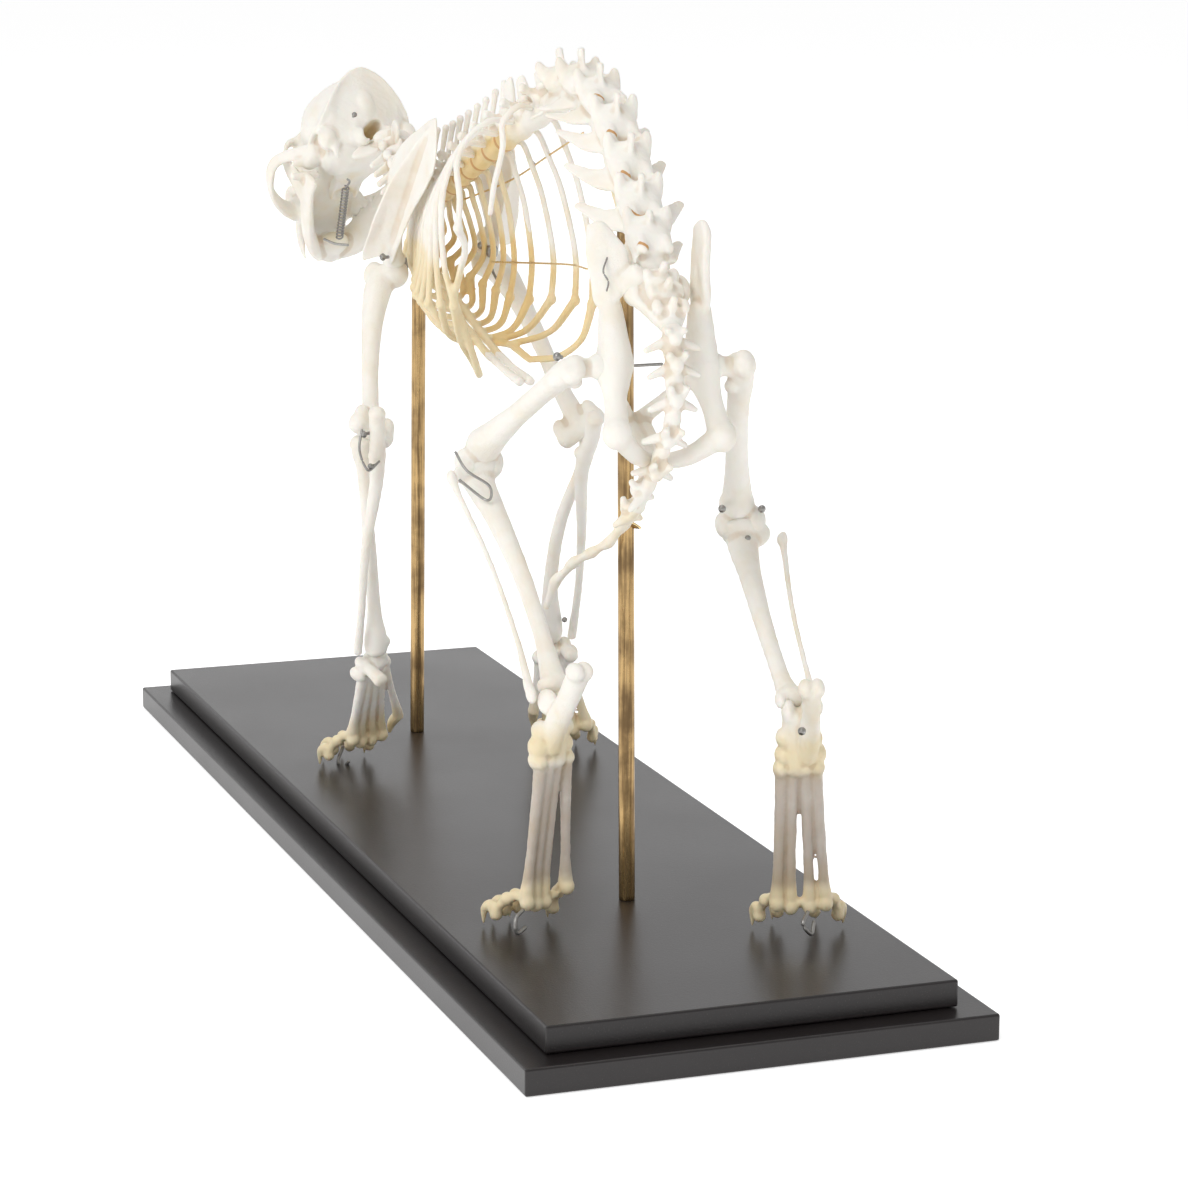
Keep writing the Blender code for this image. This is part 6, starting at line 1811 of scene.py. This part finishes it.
print("triangles of bone:", total_triangles)

# %% [markdown]
# Two brass rods carry the animal. Each is straight drawn bar that ends in thinner pins, and these
# reach the spine: the front ones at the root of the neck, the rear ones below the loin. A rod is one
# profile swept along a straight line.

# %% Brass rods
def fitting(name, surfaces, finish, nodes=()):
    """A small metal piece made of closed surfaces."""
    thing = bpy.data.objects.new(name, mesh_from(surfaces, name))
    scene.collection.objects.link(thing)
    show(thing, list(nodes), finish)
    return thing


def rod(foot, head, radius, pins):
    """A straight bar with rounded ends and the thinner pins that it carries."""
    foot, head = Vector(foot), Vector(head)
    bar = sweep([foot, foot.lerp(head, 0.5), head], [radius] * 3, sides=32, cap=0.25)
    return [bar] + [sweep(pin, [size] * (len(pin) - 1) + [0.6 * size], sides=20) for pin, size in pins]


FRONT_PINS = [([(129.7, -2.4, 250), (129.7, 0.6, 261.0),
                tuple(spine_frame(129.7).start - Vector((0, 0, 4.0)))], 2.0)]
REAR_PINS = [([(-153, 2.4, 282), (-153, 2.6, 289.0), tuple(spine_frame(-153.0).start)], 2.0)]
fitting(
    "rod_front", rod((129.7, 0, 21.46), (129.7, -2.4, 258), 3.2, FRONT_PINS), BRASS,
    ["stand_rod_front"],
)
fitting(
    "rod_rear", rod((-153, 0, 21.46), (-153, 2.4, 287), 3.2, REAR_PINS), BRASS,
    ["stand_rod_rear"],
)

print("the pins end at heights", [round(pins[0][0][-1][2], 1) for pins in (FRONT_PINS, REAR_PINS)], "mm")

# %% [markdown]
# Bones have no joints of their own, so the mounter ties them: steel wire is bent through drilled
# holes, small round-headed screws hold the large joints, and brass wire hangs the chest from the
# spine. A wire is a thin sweep along a smooth path. A screw is a short shank and a domed head.

# %% Wires and screws
def coil(start, end, radius, turns, steps=12):
    """A spring: a circle of the radius whose centre moves from the start to the end."""
    start, end = np.array(start, float), np.array(end, float)
    axis = unit(end - start)
    first = unit(np.cross(axis, (0.0, 1.0, 0.0)))
    second = np.cross(axis, first)
    share = np.linspace(0.0, 1.0, turns * steps + 1)[:, None]
    angle = 2.0 * math.pi * turns * share
    points = start + (end - start) * share + radius * (first * np.cos(angle) + second * np.sin(angle))
    return [Vector(p) for p in points.tolist()]


STEEL_WIRES = {
    "wire_elbow_left": (
        [(24.0, 56.0, 183.9), (21.0, 58.0, 175.6), (20.0, 54.7, 167.1), (23.0, 48.7, 170.0)], 0.55,
    ),
    "wire_knee_left": (
        [
            (-112.0, 57.4, 197.0), (-119.0, 55.0, 190.8), (-123.0, 47.0, 184.7), (-121.0, 47.5, 178.9),
            (-114.0, 56.4, 186.2),
        ],
        0.55,
    ),
    "wire_tail_brace": ([(-156.4, 2.6, 234.8), (-166.0, -1.0, 236.4), (-175.0, -4.6, 237.9)], 0.6),
    "spring_jaw": (coil((191.0, 14.5, 269.5), (213.0, 11.5, 243.5), 1.5, 17), 0.42),
    "spring_hook": ([(186.0, 15.0, 274.0), (188.5, 13.2, 272.5), (191.0, 14.5, 269.5)], 0.5),
    "wire_jaw": ([(215.0, 18.5, 243.0), (212.0, 14.0, 241.0), (208.0, 8.8, 240.6)], 0.6),
    "wire_chest_low": ([(50.0, -14.7, 240.0), (54.0, -12.6, 246.0), (55.0, -12.3, 252.0)], 0.6),
    "wire_foot_fore": (
        [(88.0, 47.8, 28.0), (86.0, 50.8, 21.9), (84.0, 49.1, 19.6), (82.0, 46.9, 22.4)], 0.75,
    ),
    "wire_foot_left": (
        [(-190.0, 56.0, 33.0), (-194.0, 60.2, 31.0), (-195.0, 60.0, 25.7), (-192.0, 55.7, 26.6)], 0.75,
    ),
    "wire_foot_right": (
        [(-226.0, -46.5, 32.4), (-229.0, -43.3, 28.8), (-229.0, -46.7, 24.5), (-226.0, -49.1, 28.2)], 0.75,
    ),
    "hook_hip": (
        [(-192.5, 24.0, 281.5), (-196.5, 27.0, 276.9), (-196.5, 25.0, 273.0), (-199.0, 26.5, 270.0)], 0.35,
    ),
}
BRASS_WIRES = {
    "brace_upper": (
        [(60.0, 1.2, 275.7), (20.0, -9.8, 288.7), (-30.0, -9.1, 303.4), (-90.0, -3.0, 318.0)], 0.42,
    ),
    "brace_lower": (
        [(40.0, -7.8, 251.5), (0.0, -13.0, 255.5), (-60.0, -8.5, 262.0), (-110.0, 2.3, 266.6)], 0.42,
    ),
    "loop_rod": (
        [
            (-156.6, 4.6, 172.2), (-158.0, 1.3, 173.9), (-156.6, -2.7, 171.6), (-153.0, -3.6, 170.9),
            (-149.6, 0.3, 171.2),
        ],
        0.6,
    ),
}
SCREWS = {
    "screw_scapula": ((40.0, 22.4, 299.6), (-0.5, 0.85, 0.1), 1.2),
    "screw_shoulder": ((68.0, 33.2, 251.9), (-0.6, 0.8, 0.1), 1.6),
    "screw_elbow_a": ((23.0, 55.6, 182.1), (-0.6, 0.8, 0.0), 1.5),
    "screw_elbow_b": ((21.0, 53.3, 168.4), (-0.7, 0.7, 0.0), 1.3),
    "screw_hip": ((-209.0, 49.4, 248.1), (-0.7, 0.7, 0.2), 1.6),
    "screw_knee_a": ((-154.0, -38.2, 176.3), (-0.8, 0.5, 0.1), 1.5),
    "screw_knee_b": ((-154.0, -55.1, 175.2), (-0.9, 0.2, 0.1), 1.5),
    "screw_knee_c": ((-153.0, -49.7, 163.6), (-0.9, 0.2, 0.1), 1.2),
    "screw_hock_left": ((-197.5, 40.4, 112.6), (-0.9, 0.2, 0.2), 1.5),
    "screw_hock_right": ((-250.0, -32.5, 110.5), (-0.9, 0.2, 0.2), 1.5),
    "screw_wrist": ((43.0, -42.5, 89.8), (-0.9, 0.3, 0.0), 1.2),
    "screw_occiput": ((179.5, 13.1, 304.5), (-0.9, 0.1, 0.3), 1.2),
    "screw_chest": ((58.0, -8.8, 256.6), (-0.9, 0.2, 0.0), 1.7),
    "screw_spine": ((8.0, -15.6, 296.0), (-0.9, 0.3, -0.2), 1.2),
}


def screw(place, facing, radius):
    """A domed head on a short shank: the profile widens at the head and closes in a low dome."""
    place, facing = Vector(place), Vector(facing).normalized()
    along = [
        place - facing * 4.0, place - facing * 1.0, place - facing * 0.4, place,
        place + facing * 0.5 * radius,
    ]
    return [sweep(along, [0.5 * radius, 0.5 * radius, 0.98 * radius, radius, 0.6 * radius], sides=20,
                  cap=0.4)]


BLOCKS = {
    "block_chest": ((54.0, -12.3, 254.4), (2.2, 2.4, 2.8)),
    "clamp_front": ((92.0, 14.4, 246.0), (2.6, 3.0, 2.2)),
}
for name, (place, size) in BLOCKS.items():
    fitting(name, [blob(place, size, square=0.55)], STEEL)
for name, (path, radius) in STEEL_WIRES.items():
    fitting(name, [sweep(path, [radius] * len(path), sides=12)], STEEL)
for name, (path, radius) in BRASS_WIRES.items():
    fitting(name, [sweep(path, [radius] * len(path), sides=12)], BRASS_WIRE)
for name, (place, facing, radius) in SCREWS.items():
    fitting(name, screw(place, facing, radius), STEEL)
print("wires and screws:", len(STEEL_WIRES) + len(BRASS_WIRES) + len(SCREWS))

# %% Finish
import json
